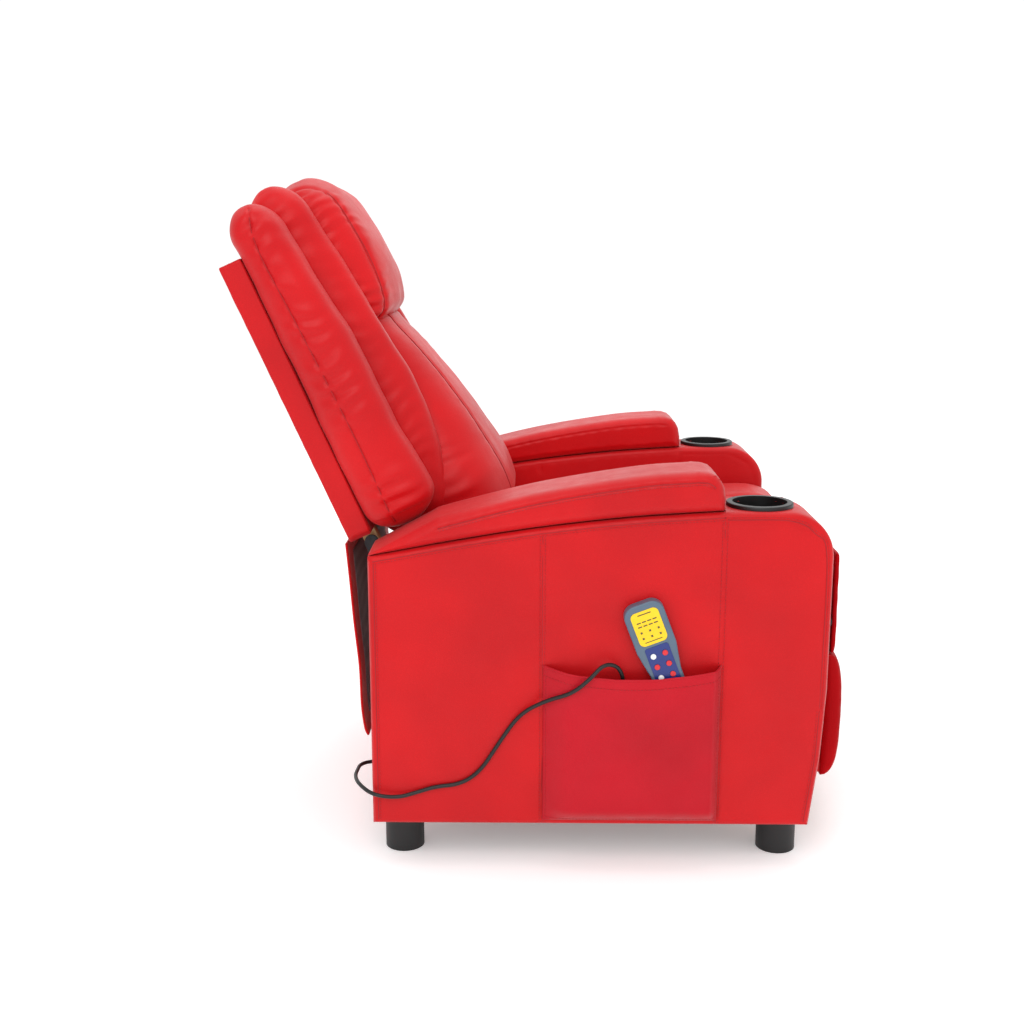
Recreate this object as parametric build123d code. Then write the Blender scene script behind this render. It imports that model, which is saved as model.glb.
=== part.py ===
from build123d import *
import math
import os

# A push-back massage armchair. X points to the sitter's front, Y to the sitter's left, Z up.
# The floor is z = 0. Profiles are drawn in the side view (x, z) and given a thickness along Y.

# Overall
half_width = 357.5
arm_width = 120.0
foot_height = 66.0
foot_radius = 30.0
floor_clearance = 0.5

# Side boxes
cover_wall = 5.0
side_rear = -235.0
side_front = 438.0
side_toe = 419.0
shelf_height = 546.0
shelf_start = 281.0
shelf_round = 66.0
rear_height = 478.0
pad_top = 604.0
pad_gap = 0.5
foot_inset = 75.0
timber = 45.0
timber_gap = 0.5

# Cup holders
cup_radius = 40.0
cup_wall = 4.0
cup_depth = 70.0
cup_lip = 9.0
cup_lip_height = 6.0
cup_from_pad = 8.0
cup_x = shelf_start + cup_from_pad + cup_lip + cup_radius
cup_clearance = 1.0

# Pocket
pocket_rear = 20.0
pocket_front = 280.0
pocket_bottom = 74.0
pocket_top = 318.0
pocket_sag = 14.0
pocket_depth = 26.0
pocket_wall = 2.0
pocket_slope = 42.0

# Linkage layers, measured out from the middle of the chair
plate = 4.0
layer_gap = 1.0
pin_radius = 5.0
pin_clearance = 0.05
slot_clearance = 1.8
strap = 15.0
swing_a = (200.0, 205.0)
swing_b = (285.0, 285.0)
rear_a = (110.0, 100.0)
rear_b = (-60.0, 290.0)
back_pivot = (-100.0, 240.0)
leg_pivot = (424.0, 357.0)
leg_end = (435.0, 204.0)
crank_radius = 35.0
crank_angle = 345.0
rod_pivot = (343.0, 325.0)

# Seat
seat_rear = -80.0
seat_front = 445.0
seat_bottom = 370.0
seat_side = 414.0
seat_top = 482.0
seat_half = 231.0
rail_half = 212.0
rail = 22.0
rail_bottom = 300.0
rail_top = 355.0
wire = 1.7

# Back, drawn with s down the board and d forward from its rear face
lean = 24.0
back_top = (-455.0, 885.0)
board_length = 445.0
board_half = 255.0
board_skin = 12.0
board_depth = 35.0
bolster_half = 280.0
bolster_inner = 192.0
cushion_gap = 1.0
flap_pivot = (-280.0, 474.0)
flap_length = 310.0
flap_drop = 85.6
flap_wall = 4.0

# Footrest
leg_board = 452.0
leg_board_wall = 10.0
leg_front = 499.0
leg_low = 95.0
leg_high = 295.0
apron_rear = 472.0
apron_wall = 9.0
apron_half = 214.0

# Hand control, drawn with x across and y up its own length from the top end
remote_top = (159.0, 416.0)
remote_lean = 21.0
remote_length = 185.0
remote_width = 60.0
remote_tail = 46.0
remote_thick = 18.0
remote_gap = 1.5
button_radius = 4.0
button_travel = 1.0
button_clearance = 0.3
button_columns = (-9.0, 9.0)
button_rows = (-80.0, -97.0, -114.0)

# Cord
cord_diameter = 6.0
gland = (-225.0, -205.0, 104.0)
gland_length = 12.0

centre_x = (leg_front + back_top[0]) / 2
centre_y = -pocket_depth / 2
inner = half_width - arm_width
side_middle = half_width - arm_width / 2
cup_y = side_middle

# Layers from the arm's inner face towards the middle: base, link, seat, arm, bracket
base_layer = (inner - plate, inner)
link_layer = (base_layer[0] - layer_gap - plate, base_layer[0] - layer_gap)
seat_layer = (link_layer[0] - layer_gap - plate, link_layer[0] - layer_gap)
arm_layer = (seat_layer[0] - layer_gap - plate, seat_layer[0] - layer_gap)
foot_layer = (arm_layer[0] - layer_gap - plate, arm_layer[0] - layer_gap)
crank_pin = (
    leg_pivot[0] + crank_radius * math.cos(math.radians(crank_angle)),
    leg_pivot[1] + crank_radius * math.sin(math.radians(crank_angle)),
)

sides = {"right": -1, "left": 1}


def slab(face, near, far):
    """A side-view face given the thickness from y = near to y = far."""
    return Pos(0, far, 0) * extrude(Plane.XZ * face, amount=far - near)


def layer(face, side, span):
    """A side-view face in one layer on one side of the chair."""
    near, far = sorted((side * span[0], side * span[1]))
    return slab(face, near, far)


def back_plane(y):
    """The board's rear face, with local x down the board and local y forward."""
    angle = math.radians(lean)
    direction = (math.sin(angle), 0, -math.cos(angle))
    return Plane(origin=(back_top[0], y, back_top[1]), x_dir=direction, z_dir=(0, -1, 0))


def on_back(face, near, far):
    return extrude(back_plane(far) * face, amount=far - near)


def back_point(s, d):
    """Side-view place of a point given by s and d."""
    angle = math.radians(lean)
    x = back_top[0] + s * math.sin(angle) + d * math.cos(angle)
    z = back_top[1] - s * math.cos(angle) + d * math.sin(angle)
    return (x, z)


def outline(points):
    return make_face(Polyline(*points, close=True))


def rect(x0, x1, z0, z1):
    return outline([(x0, z0), (x1, z0), (x1, z1), (x0, z1)])


def disc(place, radius):
    return Pos(*place) * Circle(radius)


def strap_face(start, end, first=strap, last=strap):
    """The flat shape of a link between two rounded ends."""
    return make_hull((disc(start, first) + disc(end, last)).edges())


def rod(place, radius, near, far):
    """A round bar along Y."""
    return slab(disc(place, radius), near, far)


def box(x, y, z):
    """A block between two corners on each axis."""
    size = (x[1] - x[0], y[1] - y[0], z[1] - z[0])
    return Pos(x[0], y[0], z[0]) * Box(*size, align=(Align.MIN, Align.MIN, Align.MIN))


def mirrored(side, near, far):
    return tuple(sorted((side * near, side * far)))


def pin(place, side, near, far, head=0.0):
    """A pivot pin through the layers from near to far, with its head towards the middle."""
    body = layer(disc(place, pin_radius), side, (near, far))
    if head:
        body += layer(disc(place, pin_radius + 3), side, (near - head, near))
    return body


def hole(place, side, clearance=pin_clearance):
    """The bore for a pin through every layer."""
    return layer(disc(place, pin_radius + clearance), side, (rail_half, inner + 1))


# Side boxes

seam = [(-233.0, 478.0), (-100.0, 503.0), (19.0, 522.0), (150.0, 537.0), (shelf_start, shelf_height)]


def side_face():
    """The side box's outline: seam along the top, a level shelf, a round corner and a leaning toe."""
    shelf_end = side_front - shelf_round
    low = shelf_height - shelf_round
    top = Polyline((side_rear, foot_height), (side_rear, rear_height - 3), *seam, (shelf_end, shelf_height))
    middle = (shelf_end + shelf_round * math.sin(math.pi / 4), low + shelf_round * math.sin(math.pi / 4))
    corner = ThreePointArc((shelf_end, shelf_height), middle, (side_front, low))
    front = Polyline(
        (side_front, low), (side_front, 280), (side_front - 6, 172), (side_toe, foot_height), (side_rear, foot_height)
    )
    return make_face(top + corner + front)


def base_bolt_places():
    return [(160.0, 92.0), (310.0, 92.0), (322.0, 283.0)]


def make_side_cover(side):
    """A hollow upholstered box, open underneath, with a hole for the cup and for the bolts."""
    outer = side_face()
    cavity = offset(outer, amount=-cover_wall)
    near, far = mirrored(side, inner, half_width)
    shell = slab(outer, near, far) - slab(cavity, near + cover_wall, far - cover_wall)
    mouth_x = (side_rear + cover_wall, side_toe - cover_wall)
    mouth = box(mouth_x, (near + cover_wall, far - cover_wall), (foot_height - 1, foot_height + cover_wall + 1))
    cup = Pos(cup_x, side * cup_y, shelf_height) * Cylinder(cup_radius + cup_wall + cup_clearance, 20)
    shell = shell - mouth - cup
    for place in base_bolt_places():
        shell -= layer(disc(place, 4.5), side, (inner - 1, inner + cover_wall + 1))
    return shell


def make_side_frame(side):
    """Timber members butted together inside the side box."""
    near = inner + cover_wall + timber_gap
    post = mirrored(side, near, near + timber)
    wide = mirrored(side, near, near + 2 * timber)
    low = foot_height + timber
    high = 425.0
    members = [
        box((-225.0, 408.0), wide, (foot_height, low)),
        box((-225.0, 425.0), wide, (high, high + 40.0)),
        box((-225.0, -225.0 + timber), post, (low, high)),
        box((300.0, 300.0 + timber), post, (low, high)),
        box((363.0, 363.0 + timber), post, (low, high)),
    ]
    bores = [layer(disc(place, 4.05), side, (near - 1, near + 30)) for place in base_bolt_places()]
    bores += [Pos(*place, foot_height) * Cylinder(4.05, 52) for place in foot_places()]
    return [member - bores for member in members]


def make_arm_pad(side):
    """The padded arm top, from the seam up to a rising curve with a rounded front."""
    low = [(x, z + pad_gap) for x, z in seam]
    crown = Spline(
        (side_rear, rear_height + pad_gap), (-150, 526), (-121, 538), (14, 573), (156, 597), (241, pad_top)
    )
    nose = ThreePointArc((241, pad_top), (269, 595), (shelf_start, 570))
    close = Polyline((shelf_start, 570), (shelf_start, shelf_height + pad_gap), *reversed(low[:-1]))
    tail = Line(low[0], (side_rear, rear_height + pad_gap))
    near, far = mirrored(side, inner, half_width)
    return slab(make_face(crown + nose + close + tail), near, far)


def make_cup_holder(side):
    """A plastic cup with a wide lip resting on the shelf."""
    outer_radius = cup_radius + cup_wall
    top = shelf_height + cup_lip_height
    cup = Pos(0, 0, top - cup_depth - cup_wall) * Cylinder(
        outer_radius, cup_depth + cup_wall, align=(Align.CENTER, Align.CENTER, Align.MIN)
    )
    lip = Pos(0, 0, shelf_height) * Cylinder(
        cup_radius + cup_lip, cup_lip_height, align=(Align.CENTER, Align.CENTER, Align.MIN)
    )
    bore = Pos(0, 0, top - cup_depth) * Cylinder(
        cup_radius, cup_depth + 1, align=(Align.CENTER, Align.CENTER, Align.MIN)
    )
    holder = fillet((cup + lip).faces().sort_by(Axis.Z)[-1].edges(), 2.0) - bore
    return Pos(cup_x, side * cup_y, 0) * holder


def foot_places():
    return [(x, side * (half_width - foot_inset)) for x in (-194.0, 385.0) for side in (-1, 1)]


def make_foot(place):
    return Pos(*place, foot_height / 2) * Cylinder(foot_radius, foot_height) - Pos(*place, foot_height) * Cylinder(4.1, 60)


def make_foot_bolts():
    """Studs from the feet up into the side frames' bottom rails."""
    return [Pos(*place, foot_height) * Cylinder(4.0, 50) for place in foot_places()]


def make_pocket_panel():
    """A patch pocket standing off the right side: a front, two sloping gussets and a floor."""
    face_y = -half_width
    out_y = face_y - pocket_depth
    rear = pocket_rear
    front = pocket_front
    sag = make_face(
        ThreePointArc((rear, pocket_top), ((rear + front) / 2, pocket_top - pocket_sag), (front, pocket_top))
        + Polyline((front, pocket_top), (front, pocket_top + 20), (rear, pocket_top + 20), (rear, pocket_top))
    )
    trim = slab(sag, out_y - 1, face_y + 1)
    plan = [
        [(rear + pocket_slope, out_y), (front - 12, out_y), (front - 12, out_y + pocket_wall),
         (rear + pocket_slope, out_y + pocket_wall)],
        [(rear, face_y), (rear + pocket_slope, out_y), (rear + pocket_slope, out_y + pocket_wall), (rear + 4, face_y)],
        [(front - 12, out_y), (front, face_y), (front - 3, face_y), (front - 12, out_y + pocket_wall)],
    ]
    height = pocket_top - pocket_bottom - pocket_wall
    walls = [Pos(0, 0, pocket_bottom + pocket_wall) * extrude(outline(points), amount=height) for points in plan]
    floor = outline([(rear, face_y), (rear + pocket_slope, out_y), (front - 12, out_y), (front, face_y)])
    base = Pos(0, 0, pocket_bottom) * extrude(floor, amount=pocket_wall)
    return [wall - trim for wall in walls] + [base]


def make_front_rail():
    return box((380.0, 402.0), (-inner, inner), (70.0, 130.0))


def make_rear_rail():
    bore = Pos(-214.0, gland[1], gland[2]) * Rot(0, 90, 0) * Cylinder(5.1, 40)
    return box((gland[0], gland[0] + 22), (-inner, inner), (75.0, 135.0)) - bore


# Linkage on the arms


def make_base_plate(side):
    """The plate bolted to the arm's inner face, holding the three fixed pivots."""
    corners = disc(rear_a, 22) + disc((315, 92), 20) + disc(rod_pivot, 20) + disc(swing_a, 26)
    face = make_hull(corners.edges()) - disc((262, 168), 34)
    body = layer(face, side, base_layer)
    for place in (rear_a, swing_a, rod_pivot):
        body -= hole(place, side)
    for place in base_bolt_places():
        body -= layer(disc(place, 4.05), side, (base_layer[0] - 1, base_layer[1] + 1))
    return body


def make_base_bolts():
    bolts = []
    for side in sides.values():
        for place in base_bolt_places():
            head = layer(disc(place, 7), side, (base_layer[0] - 4, base_layer[0]))
            bolts.append(head + layer(disc(place, 4), side, (base_layer[0], inner + 30)))
    return bolts


def make_base_pins():
    """Pins that stay with the base plates and carry the swinging links and the drive rods."""
    places = (rear_a, swing_a, rod_pivot)
    return [pin(place, side, link_layer[0], inner) for side in sides.values() for place in places]


def make_swing_link(side):
    body = layer(strap_face(swing_a, swing_b), side, link_layer)
    return body - hole(swing_a, side) - hole(swing_b, side)


def swing_middle():
    return ((swing_a[0] + swing_b[0]) / 2, (swing_a[1] + swing_b[1]) / 2)


def make_swing_tube():
    """The tube that keeps the two swinging links in step."""
    tube = rod(swing_middle(), 10, -link_layer[0], link_layer[0])
    return tube - rod(swing_middle(), 8, -link_layer[0], link_layer[0])


def make_rear_link(side):
    """A long link whose upper hole runs free on the seat plate's pin."""
    body = layer(strap_face(rear_a, rear_b), side, link_layer)
    return body - hole(rear_a, side) - hole(rear_b, side, slot_clearance)


def make_drive_rod(side):
    """The short rod that pushes the footrest out; its front hole runs free on the crank pin."""
    body = layer(strap_face(rod_pivot, crank_pin, 11, 11), side, link_layer)
    return body - hole(rod_pivot, side) - hole(crank_pin, side, slot_clearance)


# Seat carriage


def seat_bolt_places():
    return [(60.0, 318.0), (230.0, 318.0)]


def make_seat_plate(side):
    """The long plate that carries the seat, the back's hinge and the footrest's hinge."""
    rear = (60, 315)
    front = (230, 315)
    body = layer(strap_face(rear, front, 18, 18), side, seat_layer)
    for start, end, last in [(rear, rear_b, 18), (rear_b, back_pivot, 18), (front, swing_b, strap), (front, leg_pivot, 13)]:
        body += layer(strap_face(start, end, 18, last), side, seat_layer)
    for place in (back_pivot, rear_b, swing_b, leg_pivot):
        body -= hole(place, side)
    for place in seat_bolt_places():
        body -= layer(disc(place, 4.05), side, (seat_layer[0] - 1, seat_layer[1] + 1))
    return body


def make_seat_pins():
    """Pins fixed in the seat plates: two run outwards to the links, two inwards with a head."""
    pins = []
    for side in sides.values():
        for place in (rear_b, swing_b):
            pins.append(pin(place, side, seat_layer[0], link_layer[1]))
        for place in (back_pivot, leg_pivot):
            pins.append(pin(place, side, arm_layer[0] - 0.5, seat_layer[1], head=2.5))
    return pins


def make_seat_bolts():
    """Bolts and spacers between the seat plates and the seat's side rails."""
    bolts = []
    for side in sides.values():
        for place in seat_bolt_places():
            shaft = layer(disc(place, 4), side, (rail_half - rail, seat_layer[1]))
            bolts.append(shaft + layer(disc(place, 9), side, (rail_half, seat_layer[0])))
    return bolts


def make_seat_frame():
    """Four timber rails butted together around the springs."""
    x = (-60.0, 420.0)
    z = (rail_bottom, rail_top)
    members = [
        box((x[0] + rail, x[1] - rail), mirrored(side, rail_half - rail, rail_half), z) for side in sides.values()
    ]
    members.append(box((x[0], x[0] + rail), (-rail_half, rail_half), z))
    members.append(box((x[1] - rail, x[1]), (-rail_half, rail_half), z))
    for side in sides.values():
        for place in seat_bolt_places():
            bore = layer(disc(place, 4.05), side, (rail_half - rail - 1, rail_half + 1))
            members = [member - bore for member in members]
    return members


def zigzag(length, width, pitch, bend):
    """A wavy wire's centre line along +X, swinging to each side of it in turn."""
    count = int(length / pitch)
    step = length / count
    points = [(0, 0)]
    for number in range(count):
        side = width / 2 if number % 2 else -width / 2
        points += [((number + 0.12) * step, side), ((number + 0.88) * step, side)]
    points.append((length, 0))
    return FilletPolyline(*points, radius=bend)


def make_seat_springs():
    """Sinuous wires from the rear rail's top to the front rail's top."""
    path = zigzag(458, 40, 24, 6)
    springs = []
    for y in (-150.0, -75.0, 0.0, 75.0, 150.0):
        start = Pos(-49, y, rail_top + wire + 0.2)
        profile = Plane(origin=path @ 0, z_dir=path % 0) * Circle(wire)
        springs.append(start * sweep(profile, path=path))
    return springs


def make_seat_motor():
    """A vibration motor's case hung under the springs."""
    case = Pos(190, 0, rail_top - 22) * Cylinder(34, 40)
    flange = Pos(190, 0, rail_top - 2) * Box(96, 60, 3)
    return case + flange


def make_seat_cushion():
    """The seat pad: a narrow base between the plates and a full-width crown above them."""
    base = box((seat_rear, seat_front), (-rail_half, rail_half), (seat_bottom, seat_side))
    crown = box((seat_rear, seat_front), (-seat_half, seat_half), (seat_side, seat_top))
    crown = fillet(crown.faces().sort_by(Axis.Z)[-1].edges(), 22)
    return base + crown


def make_front_apron():
    """The padded flap in front of the seat, above the footrest."""
    return box((apron_rear, apron_rear + apron_wall), (-apron_half, apron_half), (leg_high + 6, 452.0))


def make_seat_tube():
    """The tube between the two seat plates behind the seat."""
    place = (-72.0, 264.0)
    tube = rod(place, 9, -seat_layer[0], seat_layer[0])
    return tube - rod(place, 7, -seat_layer[0], seat_layer[0])


# Back


def make_back_board():
    """The leather-covered rear face of the back."""
    return on_back(rect(0, board_length, 0, board_skin), -board_half, board_half)


def make_back_frame():
    """Timber stiles and rails butted together, with two stiles reaching down past the board."""
    deep = (board_skin + 0.5, board_depth)
    high = rail * 2
    members = [
        on_back(rect(0, high, *deep), -board_half, board_half),
        on_back(rect(board_length - high, board_length, *deep), -board_half, board_half),
    ]
    for side in sides.values():
        outer = mirrored(side, board_half - rail, board_half)
        members.append(on_back(rect(high, board_length - high, *deep), *outer))
        lower = mirrored(side, rail_half - rail, rail_half)
        members.append(on_back(rect(board_length, 600.0, *deep), *lower))
    for side in sides.values():
        for place in back_bolt_places():
            bore = layer(disc(back_point(*place), 4.05), side, (rail_half - rail - 1, rail_half + 1))
            members = [member - bore for member in members]
    return members


def back_bolt_places():
    return [(480.0, 24.0), (560.0, 24.0)]


def make_back_bracket(side):
    """The steel strap from the back's hinge up to its lower stile."""
    low = back_point(590, 24)
    high = back_point(464, 24)
    face = strap_face(back_pivot, low, 16, 11) + strap_face(low, high, 11, 11)
    body = layer(face, side, arm_layer) - hole(back_pivot, side)
    for place in back_bolt_places():
        body -= layer(disc(back_point(*place), 4.05), side, (arm_layer[0] - 1, arm_layer[1] + 1))
    return body


def make_back_bolts():
    """Bolts and spacers between the brackets and the lower stiles."""
    bolts = []
    for side in sides.values():
        for place in back_bolt_places():
            centre = back_point(*place)
            shaft = layer(disc(centre, 4), side, (rail_half - rail, arm_layer[1]))
            bolts.append(shaft + layer(disc(centre, 9), side, (rail_half, arm_layer[0])))
    return bolts


def make_back_springs():
    """Sinuous wires from the bottom rail's front face to the top rail's."""
    path = zigzag(401, 40, 24, 6)
    springs = []
    for y in (-150.0, -75.0, 0.0, 75.0, 150.0):
        profile = Plane(origin=path @ 0, z_dir=path % 0) * Circle(wire)
        wave = sweep(profile, path=path)
        angle = math.radians(lean)
        start = back_point(22, board_depth + wire + 0.2)
        along = (math.sin(angle), 0, -math.cos(angle))
        normal = (math.cos(angle), 0, math.sin(angle))
        springs.append(Plane(origin=(start[0], y, start[1]), x_dir=along, z_dir=normal).location * wave)
    return springs


def make_back_motor(s):
    """A flat vibration motor in the frame, behind the springs."""
    return on_back(rect(s - 34, s + 34, board_skin + 1, board_depth - 2), -34, 34)


def cushion_face():
    """The middle panel from under the pillow to the lumbar swell and back below it."""
    rear = board_depth + 2 * wire + cushion_gap
    front = Spline((172, 148), (240, 172), (330, 200), (420, 232), (480, 246), (504, 240))
    close = Polyline((504, 240), (522, 212), (524, 165), (520, rear), (172, rear), (172, 148))
    return make_face(front + close)


def make_back_cushion():
    half = bolster_inner - cushion_gap
    return on_back(cushion_face(), -half, half)


def make_head_pillow():
    """The pillow on the upper part of the back, bulging forward above its lower edge."""
    rear = board_depth + 2 * wire + cushion_gap
    front = Spline((-62, 60), (-88, 95), (-84, 128), (-20, 164), (60, 186), (128, 193), (160, 176), (170, 148))
    close = Polyline((170, 148), (170, rear), (-58, rear), (-62, 60))
    half = bolster_inner - cushion_gap
    return on_back(make_face(front + close), -half, half)


def make_back_bolster(side):
    """The long side roll, wider above the arm and narrower between the arms."""
    rear = board_depth + cushion_gap
    front = [(-63, rear), (-63, 73), (-30, 98), (100, 118), (300, 134), (428, 142)]
    upper = outline(front + [(428, rear)])
    lower = outline([(428, rear), (428, 142), (452, 140), (466, 120), (466, rear)])
    body = on_back(upper, *mirrored(side, bolster_inner, bolster_half))
    return body + on_back(lower, *mirrored(side, bolster_inner, seat_half))


# Rear flap


def make_rear_flap():
    """The stiffened cloth that hangs from the board and hides the space behind the seat."""
    drop = math.radians(flap_drop)
    end = (flap_pivot[0] + flap_length * math.cos(drop), flap_pivot[1] - flap_length * math.sin(drop))
    half = flap_wall / 2
    return slab(strap_face(flap_pivot, end, half, half), -board_half, board_half)


# Footrest


def make_footrest_arm(side):
    """The arm that swings the footrest out, with the crank that the drive rod pushes."""
    face = strap_face(leg_pivot, leg_end, 12, 12) + strap_face(leg_pivot, crank_pin, 12, 10)
    body = layer(face, side, arm_layer)
    for place in (leg_pivot, leg_end):
        body -= hole(place, side)
    return body - layer(disc(crank_pin, pin_radius + pin_clearance), side, (arm_layer[0] - 1, arm_layer[1] + 1))


def make_crank_pins():
    """Pins fixed in the arms' cranks, reaching out past the seat plates to the drive rods."""
    return [pin(crank_pin, side, arm_layer[0], link_layer[1]) for side in sides.values()]


def arm_tube_place():
    return (leg_pivot[0] + 0.5 * (leg_end[0] - leg_pivot[0]), leg_pivot[1] + 0.5 * (leg_end[1] - leg_pivot[1]))


def make_arm_tube():
    tube = rod(arm_tube_place(), 9, -arm_layer[0], arm_layer[0])
    return tube - rod(arm_tube_place(), 7, -arm_layer[0], arm_layer[0])


def make_footrest_bracket(side):
    """The plate behind the footrest board that turns on the arm's lower pin."""
    flange = rect(leg_board - plate, leg_board, 150, 250)
    web = make_hull((disc(leg_end, 11) + rect(leg_board - plate, leg_board, 165, 240)).edges())
    body = layer(web, side, foot_layer) + layer(flange, side, (foot_layer[0] - 18, foot_layer[1]))
    body -= layer(disc(leg_end, pin_radius + pin_clearance), side, (foot_layer[0] - 1, foot_layer[1] + 1))
    return body


def make_footrest_pins():
    """Pins fixed in the brackets, with their heads towards the middle."""
    return [pin(leg_end, side, foot_layer[0], arm_layer[1], head=2.5) for side in sides.values()]


def make_footrest_board():
    low = leg_low + 4
    return box((leg_board, leg_board + leg_board_wall), (-seat_half + 3, seat_half - 3), (low, leg_high - 4))


def make_footrest_pad():
    """The footrest cushion, fullest at its middle height."""
    rear = leg_board + leg_board_wall
    middle = (leg_low + leg_high) / 2
    front = Spline((rear + 6, leg_high), (leg_front - 6, leg_high - 26), (leg_front, middle), (leg_front - 6, leg_low + 26),
                   (rear + 6, leg_low))
    close = Polyline((rear + 6, leg_low), (rear, leg_low + 2), (rear, leg_high - 2), (rear + 6, leg_high))
    return slab(make_face(front + close), -seat_half, seat_half)


# Hand control


def remote_plane(depth):
    """The control's front face pushed out by depth, with local y up its own length."""
    angle = math.radians(remote_lean)
    y = -half_width - remote_gap - depth
    across = (math.cos(angle), 0, math.sin(angle))
    return Plane(origin=(remote_top[0], y, remote_top[1]), x_dir=across, z_dir=(0, -1, 0))


def on_remote(face, near, far):
    return extrude(remote_plane(near) * face, amount=far - near)


def remote_face(inset=0.0):
    """The case's outline: a wide head, straight sides and a narrower tail."""
    head = remote_width / 2 - inset
    tail = remote_tail / 2 - inset
    points = [(-head, -inset), (head, -inset), (head, -70), (tail, -110), (tail, inset - remote_length),
              (-tail, inset - remote_length), (-tail, -110), (-head, -70)]
    return outline(points)


def make_remote_case():
    body = on_remote(remote_face(), 0, remote_thick)
    long_edges = body.edges().filter_by(Axis.Y).sort_by(Axis.Z)
    body = fillet(long_edges[-2:], 18)
    long_edges = body.edges().filter_by(Axis.Y).sort_by(Axis.Z)
    body = fillet(long_edges[:2], 9)
    front = body.faces().sort_by(Axis.Y)[0]
    body = fillet(front.edges(), 2.5)
    label = on_remote(remote_label_face(0.3), remote_thick - 1.2, remote_thick + 1)
    keypad = on_remote(keypad_face(0.3), remote_thick - 1.2, remote_thick + 1)
    body = body - label - keypad
    for place in button_places():
        body -= on_remote(Pos(*place) * Circle(button_radius + button_clearance), remote_thick - 5, remote_thick + 1)
    socket = Pos(0, -remote_length) * Rectangle(cord_diameter + 0.4, 24)
    return body - on_remote(socket, remote_thick / 2 - 3.2, remote_thick / 2 + 3.2)


def remote_label_face(extra=0.0):
    return Pos(0, -36) * RectangleRounded(42 + 2 * extra, 52 + 2 * extra, 8 + extra)


def keypad_face(extra=0.0):
    return Pos(0, -96) * RectangleRounded(36 + 2 * extra, 60 + 2 * extra, 4 + extra)


def make_remote_label():
    return on_remote(remote_label_face(), remote_thick - 1.2, remote_thick + 0.1)


def make_remote_keypad():
    body = on_remote(keypad_face(), remote_thick - 1.2, remote_thick + 0.1)
    for place in button_places():
        body -= on_remote(Pos(*place) * Circle(button_radius + button_clearance), remote_thick - 2, remote_thick + 1)
    return body


def button_places():
    return [(x, y) for y in button_rows for x in button_columns]


def make_button(number):
    """One push button: it stands proud by more than its travel, above the floor of its bore."""
    place = button_places()[number]
    return on_remote(Pos(*place) * Circle(button_radius), remote_thick - 5 + button_travel + 0.2, remote_thick + 1.3)


# Power and cord


def make_control_box():
    return box((gland[0] + 22, gland[0] + 62), (-70, 70), (80, 128))


def make_power_inlet():
    """A recessed low-voltage inlet on the rear rail."""
    body = box((gland[0] - 4, gland[0]), (110, 146), (92, 118))
    return body - box((gland[0] - 5, gland[0] - 1.5), (117, 139), (98, 112))


def make_cable_gland():
    """The collar where the hand control's cord leaves the rear rail."""
    turn = Rot(0, -90, 0)
    collar = Pos(*gland) * turn * Cylinder(9, gland_length - 0.5, align=(Align.CENTER, Align.CENTER, Align.MIN))
    shank = Pos(gland[0], gland[1], gland[2]) * turn * Cylinder(5, 20, align=(Align.CENTER, Align.CENTER, Align.MAX))
    return collar + shank


def remote_point(x, y, depth):
    """Place of a point on the hand control: across, up its length, and out from its back."""
    angle = math.radians(remote_lean)
    return (
        remote_top[0] + x * math.cos(angle) - y * math.sin(angle),
        -half_width - remote_gap - depth,
        remote_top[1] + x * math.sin(angle) + y * math.cos(angle),
    )


def cord_points():
    """The route from the gland, round the side box, up the outside and down into the pocket."""
    return [
        (-237.0, -205.0, 104.0),
        (-258.0, -208.0, 104.0),
        (-270.0, -228.0, 107.0),
        (-270.0, -258.0, 111.0),
        (-269.0, -296.0, 117.0),
        (-258.0, -338.0, 122.0),
        (-232.0, -372.0, 119.0),
        (-196.0, -367.0, 113.0),
        (-168.0, -363.0, 120.0),
        (-140.0, -362.0, 129.0),
        (-102.0, -362.0, 133.0),
        (-72.0, -362.0, 154.0),
        (-44.0, -362.0, 200.0),
        (-14.0, -363.0, 245.0),
        (26.0, -374.0, 270.0),
        (62.0, -391.0, 286.0),
        (88.0, -392.0, 309.0),
        (108.0, -385.0, 330.0),
        (131.0, -374.0, 322.0),
        (139.0, -369.0, 292.0),
        (134.0, -369.0, 248.0),
        (126.0, -369.0, 206.0),
        (142.0, -369.0, 164.0),
        (180.0, -368.0, 138.0),
        (222.0, -368.0, 142.0),
        (246.0, -368.0, 172.0),
        remote_point(0, -remote_length - 38, remote_thick / 2),
        remote_point(0, -remote_length + 12, remote_thick / 2),
    ]


def cord_radii(points):
    """The bend at each middle point, from the shorter run beside it and the turn there."""
    radii = []
    for before, here, after in zip(points, points[1:], points[2:]):
        first = Vector(*here) - Vector(*before)
        second = Vector(*after) - Vector(*here)
        half_turn = math.radians(first.get_angle(second)) / 2
        radii.append(0.45 * min(first.length, second.length) / math.tan(half_turn))
    return radii


def make_remote_lead():
    points = cord_points()
    path = FilletPolyline(*points, radius=cord_radii(points))
    profile = Plane(origin=path @ 0, z_dir=path % 0) * Circle(cord_diameter / 2)
    return sweep(profile, path=path, transition=Transition.ROUND)


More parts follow.
